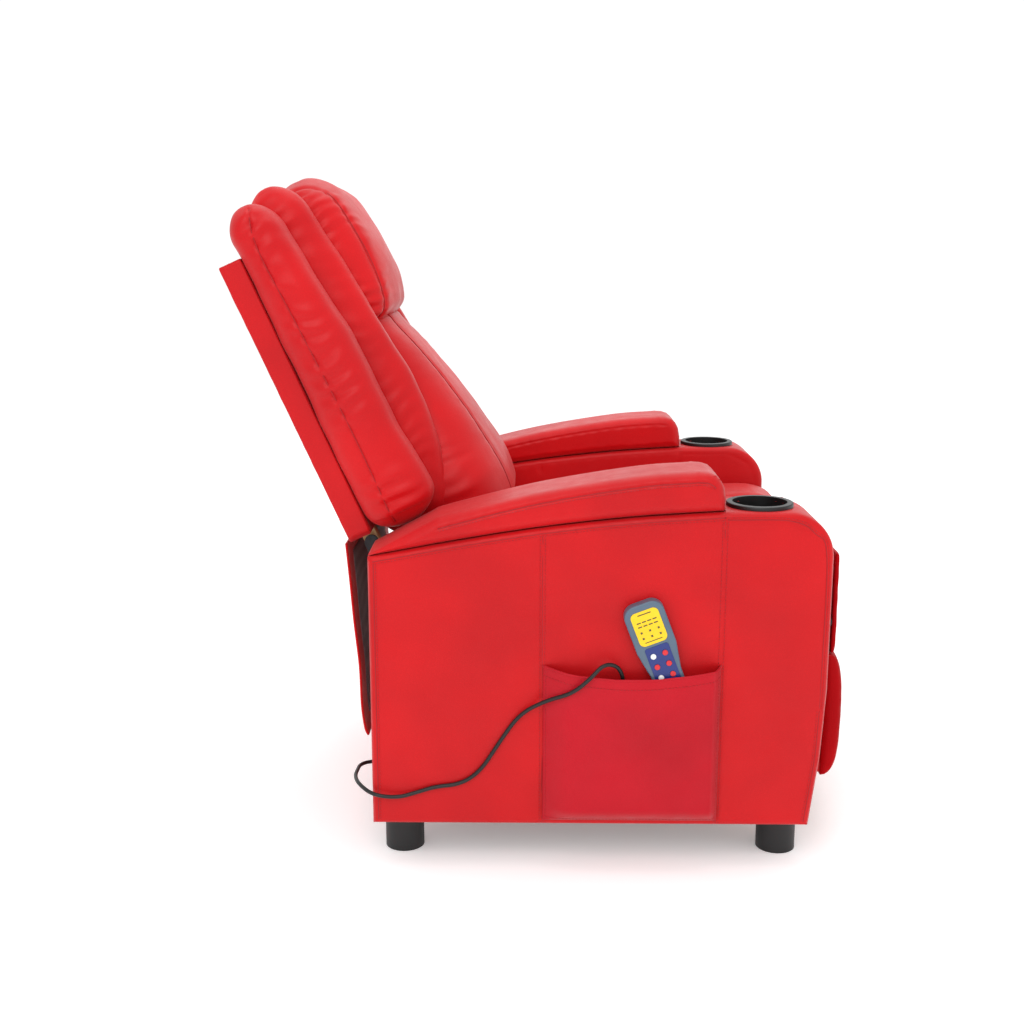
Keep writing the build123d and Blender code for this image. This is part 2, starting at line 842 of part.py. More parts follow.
def build_nodes():
    """Every sub-part by name, in the working frame."""
    nodes = {}
    for name, side in sides.items():
        nodes[f"side_cover_{name}"] = [make_side_cover(side)]
        nodes[f"arm_pad_{name}"] = [make_arm_pad(side)]
        nodes[f"cup_holder_{name}"] = [make_cup_holder(side)]
        nodes[f"back_bolster_{name}"] = [make_back_bolster(side)]
    pairs = {
        "base_plates": make_base_plate,
        "swing_links": make_swing_link,
        "rear_links": make_rear_link,
        "drive_rods": make_drive_rod,
        "seat_plates": make_seat_plate,
        "back_brackets": make_back_bracket,
        "footrest_arms": make_footrest_arm,
        "footrest_brackets": make_footrest_bracket,
    }
    for name, make in pairs.items():
        nodes[name] = [make(side) for side in sides.values()]
    nodes["side_frames"] = [member for side in sides.values() for member in make_side_frame(side)]
    nodes["feet"] = [make_foot(place) for place in foot_places()]
    nodes["pocket_panel"] = make_pocket_panel()
    nodes["front_rail"] = [make_front_rail()]
    nodes["rear_rail"] = [make_rear_rail()]
    nodes["frame_bolts"] = make_foot_bolts() + make_base_bolts()
    nodes["base_pins"] = make_base_pins()
    nodes["swing_tube"] = [make_swing_tube()]
    nodes["seat_pins"] = make_seat_pins()
    nodes["seat_bolts"] = make_seat_bolts()
    nodes["seat_frame"] = make_seat_frame()
    nodes["seat_springs"] = make_seat_springs()
    nodes["seat_motor"] = [make_seat_motor()]
    nodes["seat_cushion"] = [make_seat_cushion()]
    nodes["seat_tube"] = [make_seat_tube()]
    nodes["front_apron"] = [make_front_apron()]
    nodes["back_board"] = [make_back_board()]
    nodes["back_frame"] = make_back_frame()
    nodes["back_bolts"] = make_back_bolts()
    nodes["back_springs"] = make_back_springs()
    nodes["back_motor_upper"] = [make_back_motor(150.0)]
    nodes["back_motor_lower"] = [make_back_motor(320.0)]
    nodes["back_cushion"] = [make_back_cushion()]
    nodes["head_pillow"] = [make_head_pillow()]
    nodes["rear_flap"] = [make_rear_flap()]
    nodes["crank_pins"] = make_crank_pins()
    nodes["arm_tube"] = [make_arm_tube()]
    nodes["footrest_pins"] = make_footrest_pins()
    nodes["footrest_board"] = [make_footrest_board()]
    nodes["footrest_pad"] = [make_footrest_pad()]
    nodes["remote_case"] = [make_remote_case()]
    nodes["remote_label"] = [make_remote_label()]
    nodes["remote_keypad"] = [make_remote_keypad()]
    for number in range(len(button_places())):
        nodes[f"button_{number + 1}"] = [make_button(number)]
    nodes["control_box"] = [make_control_box()]
    nodes["power_inlet"] = [make_power_inlet()]
    nodes["cable_gland"] = [make_cable_gland()]
    nodes["remote_lead"] = [make_remote_lead()]
    return nodes


def main():
    os.makedirs("parts", exist_ok=True)
    for name, bodies in build_nodes().items():
        placed = [Pos(-centre_x, -centre_y, 0) * body for body in bodies]
        node = placed[0] if len(placed) == 1 else Compound(children=placed)
        node.label = name
        export_step(node, f"parts/{name}.step")
    print("cord radii", [round(radius, 1) for radius in cord_radii(cord_points())])


if __name__ == "__main__":
    main()
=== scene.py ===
import math
import bmesh
import bpy
import numpy as np
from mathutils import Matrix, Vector


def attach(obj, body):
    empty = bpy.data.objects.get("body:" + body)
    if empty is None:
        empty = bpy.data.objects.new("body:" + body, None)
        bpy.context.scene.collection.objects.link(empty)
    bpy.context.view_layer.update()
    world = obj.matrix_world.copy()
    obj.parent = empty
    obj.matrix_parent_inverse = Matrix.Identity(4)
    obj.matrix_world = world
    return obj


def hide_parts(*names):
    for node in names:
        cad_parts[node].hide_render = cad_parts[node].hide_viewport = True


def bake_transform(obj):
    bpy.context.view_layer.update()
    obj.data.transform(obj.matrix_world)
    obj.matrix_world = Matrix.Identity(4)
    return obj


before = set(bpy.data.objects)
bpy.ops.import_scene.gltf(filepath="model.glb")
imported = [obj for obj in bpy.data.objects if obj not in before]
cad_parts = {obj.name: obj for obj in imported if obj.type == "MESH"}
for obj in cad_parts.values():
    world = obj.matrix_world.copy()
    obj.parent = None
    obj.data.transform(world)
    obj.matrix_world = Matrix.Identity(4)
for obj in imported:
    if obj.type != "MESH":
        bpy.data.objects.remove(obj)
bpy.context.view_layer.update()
scene = bpy.context.scene

# Where the drawing's zero for x and y lies in the frame, in metres
datum = {"x": -0.022, "y": 0.013}
halfWidth = 0.3575
innerWall = 0.2375


# Small helpers for points, meshes and nodes.

def place(x, y, z):
    """Drawing millimetres to frame metres: (x/1000 + datum x, y/1000 + datum y, z/1000)."""
    x, y, z = np.broadcast_arrays(*[np.asarray(value, float) for value in (x, y, z)])
    return np.stack([x / 1000 + datum["x"], y / 1000 + datum["y"], z / 1000], axis=-1)


def resample(points, count):
    """A polyline's points respaced: point at length share i/(count-1), by linear interpolation."""
    points = np.asarray(points, float)
    steps = np.linalg.norm(np.diff(points, axis=0), axis=1)
    along = np.concatenate([[0], np.cumsum(steps)]) / steps.sum()
    share = np.linspace(0, 1, count)
    return np.stack([np.interp(share, along, points[:, k]) for k in range(points.shape[1])], axis=1)


def smoothLine(points, count):
    """A smooth curve through a few points: Catmull-Rom, p = sum of cubic weights times 4 neighbours."""
    points = np.asarray(points, float)
    padded = np.vstack([2 * points[0] - points[1], points, 2 * points[-1] - points[-2]])
    share = np.linspace(0, len(points) - 1 - 1e-9, count * 4)
    index = share.astype(int)
    t = (share - index)[:, None]
    a, b, c, d = padded[index], padded[index + 1], padded[index + 2], padded[index + 3]
    curve = 0.5 * (2 * b + (c - a) * t + (2 * a - 5 * b + 4 * c - d) * t**2 + (3 * b - a - 3 * c + d) * t**3)
    return resample(curve, count)


def arcLine(centre, radius, start, end, count=12):
    """Points on an arc: centre + radius (cos a, sin a), with a from start to end degrees."""
    angle = np.radians(np.linspace(start, end, count))
    return np.stack([centre[0] + radius * np.cos(angle), centre[1] + radius * np.sin(angle)], axis=1)


def coons(bottom, top, left, right):
    """Four edges filled in: (1-v)B + vT + (1-u)L + uR minus the bilinear corners."""
    u = np.linspace(0, 1, len(bottom))[:, None, None]
    v = np.linspace(0, 1, len(left))[None, :, None]
    b, t = np.asarray(bottom)[:, None], np.asarray(top)[:, None]
    l, r = np.asarray(left)[None], np.asarray(right)[None]
    corners = (1 - u) * (1 - v) * b[0] + u * (1 - v) * b[-1] + (1 - u) * v * t[0] + u * v * t[-1]
    return (1 - v) * b + v * t + (1 - u) * l + u * r - corners


def ripple(points, length, seed):
    """Soft noise: the mean of six sines, each along its own seeded direction, wavelength about length."""
    random = np.random.default_rng(seed)
    points = np.asarray(points, float)
    total = np.zeros(points.shape[:-1])
    for _ in range(6):
        way = random.normal(size=points.shape[-1])
        way *= 2 * math.pi / (length * random.uniform(0.7, 1.5)) / np.linalg.norm(way)
        total += np.sin(points @ way + random.uniform(0, 6.3))
    return total / 6


def distanceTo(path, points):
    """The shortest distance from each point to a polyline, and how far along it the nearest point is."""
    path = np.asarray(path, float)
    best = np.full(points.shape[:-1], 1e9)
    along = np.zeros(points.shape[:-1])
    done = 0.0
    for start, end in zip(path[:-1], path[1:]):
        way = end - start
        size = np.linalg.norm(way)
        share = np.clip(((points - start) @ way) / size**2, 0, 1)
        gap = np.linalg.norm(points - start - share[..., None] * way, axis=-1)
        closer = gap < best
        best = np.where(closer, gap, best)
        along = np.where(closer, done + share * size, along)
        done += size
    return best, along


def gridFaces(rows, columns, first=0, flip=False):
    """Quads of a rows x columns grid of points, as indices that start at first."""
    index = np.arange(rows * columns).reshape(rows, columns) + first
    quads = np.stack([index[:-1, :-1], index[1:, :-1], index[1:, 1:], index[:-1, 1:]], axis=-1).reshape(-1, 4)
    return quads[:, ::-1] if flip else quads


def meshFrom(name, grids, merge=0.0002):
    """One closed mesh from several point grids, welded where their edges meet, facing outwards."""
    points, faces, first = [], [], 0
    for grid in grids:
        rows, columns = grid.shape[:2]
        points.append(grid.reshape(-1, 3))
        faces.append(gridFaces(rows, columns, first))
        first += rows * columns
    mesh = bpy.data.meshes.new(name)
    mesh.from_pydata(np.vstack(points).tolist(), [], np.vstack(faces).tolist())
    piece = bpy.data.objects.new(name, mesh)
    scene.collection.objects.link(piece)
    weld(piece, merge)
    return piece


def weld(piece, merge):
    """Merge doubles, drop flat faces and turn all faces outwards."""
    shape = bmesh.new()
    shape.from_mesh(piece.data)
    bmesh.ops.remove_doubles(shape, verts=shape.verts, dist=merge)
    bmesh.ops.dissolve_degenerate(shape, edges=shape.edges, dist=1e-6)
    bmesh.ops.recalc_face_normals(shape, faces=shape.faces)
    shape.to_mesh(piece.data)
    shape.free()
    piece.data.polygons.foreach_set("use_smooth", np.ones(len(piece.data.polygons), bool))
    piece.data.update()


def colour(text):
    """sRGB hex to linear: ((c + 0.055)/1.055)^2.4, or c/12.92 where dark."""
    values = [int(text[k:k + 2], 16) / 255 for k in (1, 3, 5)]
    return tuple(c / 12.92 if c <= 0.04045 else ((c + 0.055) / 1.055) ** 2.4 for c in values) + (1.0,)


def addNode(tree, kind, settings=None, links=None):
    """One shader node: settings go to its properties or sockets, links come from other sockets."""
    node = tree.nodes.new(kind)
    for key, value in (settings or {}).items():
        if isinstance(key, int) or key in node.inputs:
            node.inputs[key].default_value = value
        else:
            setattr(node, key, value)
    for key, source in (links or {}).items():
        tree.links.new(source, node.inputs[key])
    return node


def newMaterial(name):
    material = bpy.data.materials.new(name)
    material.use_nodes = True
    tree = material.node_tree
    shader = tree.nodes["Principled BSDF"]
    return material, tree, shader


def ramp(tree, source, stops):
    """A colour ramp from (position, hex) stops."""
    node = addNode(tree, "ShaderNodeValToRGB", links={"Fac": source})
    band = node.color_ramp
    while len(band.elements) < len(stops):
        band.elements.new(0.5)
    for element, (position, text) in zip(band.elements, stops):
        element.position = position
        element.color = colour(text)
    return node


# Materials.

def fauxLeather(name, base, deep, grain=1.3, rough=0.40, bump=0.22, shine=0.22, sheen=0.06):
    """PU leather: knit-backed, embossed with a pebble grain, with a soft gloss that breaks up on it."""
    material, tree, shader = newMaterial(name)
    spot = addNode(tree, "ShaderNodeTexCoord").outputs["Object"]
    cells = addNode(tree, "ShaderNodeTexVoronoi", {"feature": "F1", "Scale": 1000 / grain, "Randomness": 1.0},
                    {"Vector": spot})
    fine = addNode(tree, "ShaderNodeTexNoise", {"Scale": 1000 / (grain * 0.45), "Detail": 3.0},
        {"Vector": spot})
    folds = addNode(tree, "ShaderNodeTexNoise", {"Scale": 1000 / 28, "Detail": 5.0, "Roughness": 0.6},
        {"Vector": spot})
    cloud = addNode(tree, "ShaderNodeTexNoise", {"Scale": 1000 / 160, "Detail": 2.0}, {"Vector": spot})
    tone = ramp(tree, cloud.outputs["Fac"], [(0.32, deep), (0.66, base)])
    pit = addNode(tree, "ShaderNodeMix", {"data_type": "RGBA", "blend_type": "MULTIPLY", 0: 0.16},
                  {6: tone.outputs["Color"], 7: cells.outputs["Distance"]})
    tree.links.new(pit.outputs[2], shader.inputs["Base Color"])
    gloss = addNode(tree, "ShaderNodeMapRange", {"From Min": 0.3, "From Max": 0.7, "To Min": rough - 0.05,
                                                "To Max": rough + 0.08}, {"Value": folds.outputs["Fac"]})
    tree.links.new(gloss.outputs["Result"], shader.inputs["Roughness"])
    height = addNode(tree, "ShaderNodeMath", {"operation": "MULTIPLY_ADD", 1: 0.35},
                     {0: fine.outputs["Fac"], 2: cells.outputs["Distance"]})
    grainBump = addNode(tree, "ShaderNodeBump", {"Strength": bump, "Distance": 0.0004},
                        {"Height": height.outputs["Value"]})
    foldBump = addNode(tree, "ShaderNodeBump", {"Strength": 0.12, "Distance": 0.004},
                       {"Height": folds.outputs["Fac"], "Normal": grainBump.outputs["Normal"]})
    tree.links.new(foldBump.outputs["Normal"], shader.inputs["Normal"])
    shader.inputs["IOR"].default_value = 1.5
    shader.inputs["Specular IOR Level"].default_value = shine
    shader.inputs["Sheen Weight"].default_value = sheen
    return material


def moulded(name, base, rough=0.5, grain=0.8, bump=0.15, worn=None):
    """Injection-moulded plastic: one colour, a fine spark-eroded texture that softens its gloss."""
    material, tree, shader = newMaterial(name)
    spot = addNode(tree, "ShaderNodeTexCoord").outputs["Object"]
    fine = addNode(tree, "ShaderNodeTexNoise", {"Scale": 1000 / grain, "Detail": 4.0}, {"Vector": spot})
    cloud = addNode(tree, "ShaderNodeTexNoise", {"Scale": 1000 / 40, "Detail": 3.0}, {"Vector": spot})
    tone = ramp(tree, cloud.outputs["Fac"], [(0.3, base), (0.75, worn or base)])
    tree.links.new(tone.outputs["Color"], shader.inputs["Base Color"])
    gloss = addNode(tree, "ShaderNodeMapRange", {"To Min": rough - 0.06, "To Max": rough + 0.08},
                    {"Value": cloud.outputs["Fac"]})
    tree.links.new(gloss.outputs["Result"], shader.inputs["Roughness"])
    relief = addNode(tree, "ShaderNodeBump", {"Strength": bump, "Distance": 0.0002},
        {"Height": fine.outputs["Fac"]})
    tree.links.new(relief.outputs["Normal"], shader.inputs["Normal"])
    return material


def coatedSteel(name, base, pale, rough=0.42):
    """Powder-coated steel: a thin dark coat with orange-peel ripple, scuffed a little paler in places."""
    material, tree, shader = newMaterial(name)
    spot = addNode(tree, "ShaderNodeTexCoord").outputs["Object"]
    peel = addNode(tree, "ShaderNodeTexNoise", {"Scale": 1000 / 1.6, "Detail": 2.0}, {"Vector": spot})
    scuff = addNode(tree, "ShaderNodeTexNoise", {"Scale": 1000 / 14, "Detail": 8.0, "Roughness": 0.7},
        {"Vector": spot})
    tone = ramp(tree, scuff.outputs["Fac"], [(0.45, base), (0.8, pale)])
    tree.links.new(tone.outputs["Color"], shader.inputs["Base Color"])
    gloss = addNode(tree, "ShaderNodeMapRange", {"To Min": rough - 0.1, "To Max": rough + 0.15},
                    {"Value": scuff.outputs["Fac"]})
    tree.links.new(gloss.outputs["Result"], shader.inputs["Roughness"])
    relief = addNode(tree, "ShaderNodeBump", {"Strength": 0.2, "Distance": 0.0002},
        {"Height": peel.outputs["Fac"]})
    tree.links.new(relief.outputs["Normal"], shader.inputs["Normal"])
    shader.inputs["Metallic"].default_value = 0.35
    return material


def zincSteel(name):
    """Zinc-plated steel: bare bright metal, slightly blue, with dull blotches."""
    material, tree, shader = newMaterial(name)
    spot = addNode(tree, "ShaderNodeTexCoord").outputs["Object"]
    blotch = addNode(tree, "ShaderNodeTexNoise", {"Scale": 1000 / 9, "Detail": 6.0}, {"Vector": spot})
    tone = ramp(tree, blotch.outputs["Fac"], [(0.3, "#8F9397"), (0.7, "#B9BCBF")])
    tree.links.new(tone.outputs["Color"], shader.inputs["Base Color"])
    gloss = addNode(tree, "ShaderNodeMapRange", {"To Min": 0.28, "To Max": 0.48},
        {"Value": blotch.outputs["Fac"]})
    tree.links.new(gloss.outputs["Result"], shader.inputs["Roughness"])
    shader.inputs["Metallic"].default_value = 1.0
    return material


def pineTimber(name):
    """Sawn pine: pale yellow-brown with wavy grain rings about 6 mm apart, matt."""
    material, tree, shader = newMaterial(name)
    spot = addNode(tree, "ShaderNodeTexCoord").outputs["Object"]
    stretch = addNode(tree, "ShaderNodeMapping", {"Scale": (0.12, 1.0, 1.0)}, {"Vector": spot})
    rings = addNode(tree, "ShaderNodeTexWave", {"Scale": 1000 / 6 / 6.28, "Distortion": 5.0, "Detail": 3.0},
                    {"Vector": stretch.outputs["Vector"]})
    tone = ramp(tree, rings.outputs["Fac"], [(0.1, "#B98D5A"), (0.8, "#D9B988")])
    tree.links.new(tone.outputs["Color"], shader.inputs["Base Color"])
    relief = addNode(tree, "ShaderNodeBump", {"Strength": 0.2, "Distance": 0.0004},
        {"Height": rings.outputs["Fac"]})
    tree.links.new(relief.outputs["Normal"], shader.inputs["Normal"])
    shader.inputs["Roughness"].default_value = 0.7
    return material


def wovenLining(name):
    """Non-woven dust cloth: grey polypropylene felt pressed with a fine dotted weave about 2 mm apart."""
    material, tree, shader = newMaterial(name)
    spot = addNode(tree, "ShaderNodeTexCoord").outputs["Object"]
    weave = addNode(tree, "ShaderNodeTexVoronoi", {"Scale": 1000 / 2.0, "Randomness": 0.15}, {"Vector": spot})
    tone = ramp(tree, weave.outputs["Distance"], [(0.1, "#5F5B5E"), (0.7, "#8A8588")])
    tree.links.new(tone.outputs["Color"], shader.inputs["Base Color"])
    relief = addNode(tree, "ShaderNodeBump", {"Strength": 0.35, "Distance": 0.0004},
        {"Height": weave.outputs["Distance"]})
    tree.links.new(relief.outputs["Normal"], shader.inputs["Normal"])
    shader.inputs["Roughness"].default_value = 0.9
    return material


materials = {
    "redLeather": fauxLeather("redFauxLeather", "#CC0A12", "#BC0710", rough=0.44),
    "cushionLeather": fauxLeather("softRedFauxLeather", "#CE0A12", "#BE0710", rough=0.42),
    # A darker, duller copy of the cushion leather for the footrest pad and apron: its darker colour is painted
    # shade for faces turned away from the light.
    "shadedFrontLeather": fauxLeather("shadedFrontRedFauxLeather", "#B4060F", "#A2050D", rough=0.55, shine=0.06,
        sheen=0.0),
    "pocketLeather": fauxLeather("crimsonFauxLeather", "#BE031C", "#AE0318", rough=0.5),
    "thread": moulded("polyesterThread", "#A00A14", rough=0.6, grain=0.4, bump=0.3),
    # Dark red lines laid in the seam grooves: painted shade where the seams sink, not thread.
    "seamShadeLine": moulded("sunkenSeamShade", "#A20812", rough=0.7, grain=0.4, bump=0.3),
    "blackPlastic": moulded("blackPolypropylene", "#0E0E0F", rough=0.42, worn="#141415"),
    "footPlastic": moulded("blackPvc", "#0B0B0C", rough=0.5, worn="#131314"),
    "slatePlastic": moulded("slateAbs", "#4C5F72", rough=0.38, worn="#566A7D"),
    "yellowFilm": moulded("yellowPrintedFilm", "#F0C400", rough=0.3, bump=0.04, worn="#F6CE10"),
    "navyKeypad": moulded("navyKeypadFilm", "#1B2C72", rough=0.35, worn="#20327C"),
    "inkGrey": moulded("darkPrintInk", "#5A5230", rough=0.5, bump=0.03),
    "whiteButton": moulded("whiteAbs", "#E9EAEC", rough=0.35),
    "redButton": moulded("redAbs", "#D0202A", rough=0.35),
    "cordRubber": moulded("blackPvcJacket", "#0C0C0D", rough=0.48, grain=0.5),
    "blackSteel": coatedSteel("blackPowderCoatedSteel", "#1B1C1F", "#34363A"),
    "zinc": zincSteel("zincPlatedSteel"),
    "timber": pineTimber("sawnPine"),
    "lining": wovenLining("greyDustCloth"),
}


def dress(material, *nodes):
    """A CAD node keeps its shape and takes a finished material."""
    for name in nodes:
        cad = bpy.data.objects[name]
        if not cad.material_slots:
            cad.data.materials.append(materials[material])
        for slot in cad.material_slots:
            slot.material = materials[material]


def finishPiece(piece, material, body, slot, *nodes):
    piece.data.materials.append(materials[material])
    if body:
        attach(piece, body)
    if nodes:
        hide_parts(*nodes)
    return piece


# Camera, light and floor.

view = {"lens": 45.7, "pitch": 11.8, "yaw": 0.8, "at": (-0.022, -2.163, 0.927)}


def makeStudio():
    eye = bpy.data.objects.new("camera", bpy.data.cameras.new("camera"))
    eye.data.lens = view["lens"]
    eye.data.sensor_width = 36
    eye.location = view["at"]
    eye.rotation_euler = (math.radians(90 - view["pitch"]), 0, math.radians(view["yaw"]))
    scene.collection.objects.link(eye)
    scene.camera = eye
    lamps = [("key", (-0.5, -2.9, 2.7), 2.2, 46), ("fill", (2.4, -1.6, 1.2), 2.4, 5),
        ("top", (0.1, 0.3, 3.2), 2.4, 26),
             ("back", (0.3, 3.0, 2.0), 3.0, 12)]
    for name, spot, size, power in lamps:
        lamp = bpy.data.objects.new(name, bpy.data.lights.new(name, "AREA"))
        lamp.data.size = size
        lamp.data.energy = power
        lamp.location = spot
        aim = np.array([0.0, 0.0, 0.5]) - np.array(spot)
        lamp.rotation_euler = (math.atan2(math.hypot(aim[0], aim[1]), -aim[2]), 0,
            math.atan2(aim[1], aim[0]) - math.pi / 2)
        scene.collection.objects.link(lamp)
    world = bpy.data.worlds.new("softRoom")
    world.use_nodes = True
    world.node_tree.nodes["Background"].inputs["Color"].default_value = colour("#FFFFFF")
    world.node_tree.nodes["Background"].inputs["Strength"].default_value = 0.85
    seen = addNode(world.node_tree, "ShaderNodeLightPath").outputs["Is Camera Ray"]
    lift = addNode(world.node_tree, "ShaderNodeMath", {"operation": "MULTIPLY_ADD", 1: 0.2, 2: 0.85},
        {0: seen})
    world.node_tree.links.new(lift.outputs["Value"], world.node_tree.nodes["Background"].inputs["Strength"])
    scene.world = world
    floor = meshFrom("floor", [np.array([[[-9.0, -9.0, -0.0005], [9.0, -9.0, -0.0005]],
        [[-9.0, 9.0, -0.0005], [9.0, 9.0, -0.0005]]])])
    paper = moulded("palePaper", "#FCFCFC", rough=0.9, grain=2.0, bump=0.02)
    glow = paper.node_tree.nodes["Principled BSDF"].inputs
    glow["Emission Color"].default_value = colour("#FFFFFF")
    glow["Emission Strength"].default_value = 0.22
    floor.data.materials.append(paper)
    scene.view_settings.view_transform = "Standard"


makeStudio()
print("studio ready")


# Seams and stitching.

thread = {"length": 3.4, "gap": 1.5, "radius": 0.45}


def stitchRow(name, path, outward, body):
    """Sewn thread: a small capsule every length + gap mm along the path, half sunk in the leather."""
    path = np.asarray(path, float)
    size = np.linalg.norm(np.diff(path, axis=0), axis=1).sum()
    count = max(2, int(size / ((thread["length"] + thread["gap"]) / 1000)))
    line = resample(path, count * 2 + 1)
    middle, way = line[1::2], line[2::2] - line[:-2:2]
    way = way / np.linalg.norm(way, axis=1, keepdims=True)
    out = np.broadcast_to(np.asarray(outward, float), middle.shape)
    out = out - (out * way).sum(1, keepdims=True) * way
    out = out / np.linalg.norm(out, axis=1, keepdims=True)
    side = np.cross(way, out)
    t = np.linspace(-1, 1, 5)
    ring = np.radians(np.arange(6) * 60)
    reach = t * thread["length"] / 2000
    girth = np.sqrt(np.clip(1.02 - t**2, 0.02, 1)) * thread["radius"] / 1000
    local = np.stack([np.broadcast_to(reach[:, None], (5, 6)), girth[:, None] * np.cos(ring),
        girth[:, None] * np.sin(ring)], -1)
    frames = np.stack([way, side, out], axis=1)
    points = middle[:, None, None] + np.einsum("rcp,npk->nrck", local, frames)
    tube = [(a * 6 + b, a * 6 + (b + 1) % 6, (a + 1) * 6 + (b + 1) % 6,
        (a + 1) * 6 + b) for a in range(4) for b in range(6)]
    faces = (np.array(tube)[None] + (np.arange(count) * 30)[:, None, None]).reshape(-1, 4)
    mesh = bpy.data.meshes.new(name)
    mesh.from_pydata(points.reshape(-1, 3).tolist(), [], faces.tolist())
    piece = bpy.data.objects.new(name, mesh)
    scene.collection.objects.link(piece)
    piece.data.polygons.foreach_set("use_smooth", np.ones(len(faces), bool))
    return finishPiece(piece, "thread", body, "red_leather")


def makePiping(name, path, radius, material, body, slot):
    """A round bead along a path: p + r (cos a * n + sin a * b), closed at both ends."""
    path = np.asarray(path)
    way = np.gradient(path, axis=0)
    way /= np.linalg.norm(way, axis=1, keepdims=True)
    side = np.cross(way, [0.0, 1.0, 0.0])
    side /= np.linalg.norm(side, axis=1, keepdims=True)
    up = np.cross(side, way)
    a = np.radians(np.linspace(0, 360, 13))
    ring = side[:, None] * np.cos(a)[None, :, None] + up[:, None] * np.sin(a)[None, :, None]
    tube = path[:, None] + ring * radius / 1000
    tube = np.concatenate([np.broadcast_to(path[:1, None], (1, 13, 3)), tube,
        np.broadcast_to(path[-1:, None], (1, 13, 3))])
    piece = meshFrom(name, [tube], merge=0.00005)
    return finishPiece(piece, material, body, slot)


# Flat upholstered pieces, drawn in the side view and given a thickness along Y.

def slabHeight(shape, points):
    """Height over the flat face, mm: edge roll e(1 - sqrt(1-(1-d/e)^2)) taken off, seams sunk by
    depth exp(-(gap/width)^2), a gather ripple that fades with the seam's distance, plus slow waves."""
    rim, _ = distanceTo(shape["rim"], points)
    e = shape["roll"]
    short = 1 - np.clip(rim / e, 0, 1)
    height = -e * (1 - np.sqrt(np.clip(1 - short**2, 0, 1)))
    height = height + shape.get("puff", 0) * (1 - np.exp(-rim / 60))
    for seam in shape.get("seams", []):
        gap, along = distanceTo(seam["path"], points)
        height -= seam["depth"] * np.exp(-((gap / seam["width"]) ** 2))
        gather = seam.get("gather", 0)
        if gather:
            phase = along / seam.get("pitch", 16) * 2 * math.pi + 2.2 * ripple(points, 60, 3)
            height += gather * np.sin(phase) * np.exp(-gap / seam.get("fade", 22)) * np.clip(rim / 8, 0, 1)
    slow = ripple(points, shape.get("waveLength", 90), 11)
    return height + shape.get("wave", 0) * slow * np.clip(rim / 30, 0, 1)


def slabPiece(name, shape, outer, inner):
    """Two faces joined by a rim: the outline filled in by a Coons patch, y = outer or inner -+ height."""
    grid = coons(shape["bottom"], shape["top"], shape["left"], shape["right"])
    way = 1 if outer > inner else -1
    height = slabHeight(shape, grid)
    rolled = np.minimum(height, 0) if shape.get("plainBack", True) else height
    front = place(grid[..., 0], outer * 1000 + way * height, grid[..., 1])
    back = place(grid[..., 0], inner * 1000 - way * np.clip(rolled, -shape["roll"], 0), grid[..., 1])
    rims = []
    for edge in (np.s_[:, 0], np.s_[:, -1], np.s_[0, :], np.s_[-1, :]):
        a, b = front[edge], back[edge]
        t = np.linspace(0, 1, 9)[:, None, None]
        rims.append(a[None] * (1 - t) + b[None] * t)
    return meshFrom(name, [front, back] + rims)


def outlineOf(shape):
    """The closed rim: bottom, right, top backwards, left backwards."""
    return np.vstack([shape["bottom"], shape["right"][1:], shape["top"][::-1][1:], shape["left"][::-1][1:]])


def onSlab(shape, path, outer, inner, lift=0.25):
    """A path on the outer face, lifted a little: y = outer + height."""
    path = np.asarray(path, float)
    way = 1 if outer > inner else -1
    return place(path[:, 0], outer * 1000 + way * (slabHeight(shape, path) + lift), path[:, 1])


def beside(path, gap):
    """A copy of a line moved sideways by gap: p + gap * normal."""
    path = np.asarray(path, float)
    way = np.gradient(path, axis=0)
    way /= np.linalg.norm(way, axis=1, keepdims=True)
    return path + gap * np.stack([way[:, 1], -way[:, 0]], axis=1)


armSeam = [(-235, 478.0), (-100, 503), (19, 522), (150, 537), (281, 546)]
sideCover = {"roll": 7.0, "puff": 1.6, "wave": 1.1, "waveLength": 120, "rows": 150, "columns": 120}
armPad = {"roll": 15.0, "puff": 2.5, "wave": 1.2, "waveLength": 70, "rows": 130, "columns": 30}


def sideShape():
    low = 480.0
    corner = arcLine((372, low), 66, 90, 45)
    lower = arcLine((372, low), 66, 45, 0)
    top = np.vstack([smoothLine(armSeam, 60), [(300, 546), (340, 546)], corner])
    front = np.vstack([[(419, 66), (432, 172), (438, 280), (438, 420)], lower[::-1]])
    rows, columns = sideCover["rows"], sideCover["columns"]
    shape = {"bottom": resample([(-235, 66), (419, 66)], rows), "top": resample(top, rows),
             "left": resample([(-235, 66), (-235, 478)], columns), "right": resample(front, columns)}
    shape["rim"] = outlineOf(shape)
    shape.update({key: sideCover[key] for key in ("roll", "puff", "wave", "waveLength")})
    shape["seams"] = [
        {"path": [(19, 70), (19, 522)], "depth": 1.8, "width": 2.2, "gather": 0.35, "pitch": 34, "fade": 26},
        {"path": [(280, 70), (280, 546)], "depth": 1.8, "width": 2.2, "gather": 0.35, "pitch": 30,
            "fade": 26},
        {"path": [(427, 250), (423, 170), (411, 74)], "depth": 0.9, "width": 1.8},
        {"path": [(427, 250), (427, 476), (408, 517), (372, 535), (284, 536)], "depth": 0.9, "width": 1.8},
        {"path": [(-226, 74), (-226, 470)], "depth": 0.9, "width": 1.8, "gather": 0.3, "pitch": 40,
            "fade": 14},
        {"path": [(p[0], p[1] - 7) for p in armSeam], "depth": 0.8, "width": 2.0, "gather": 0.5,
            "pitch": 26, "fade": 18},
    ]
    return shape


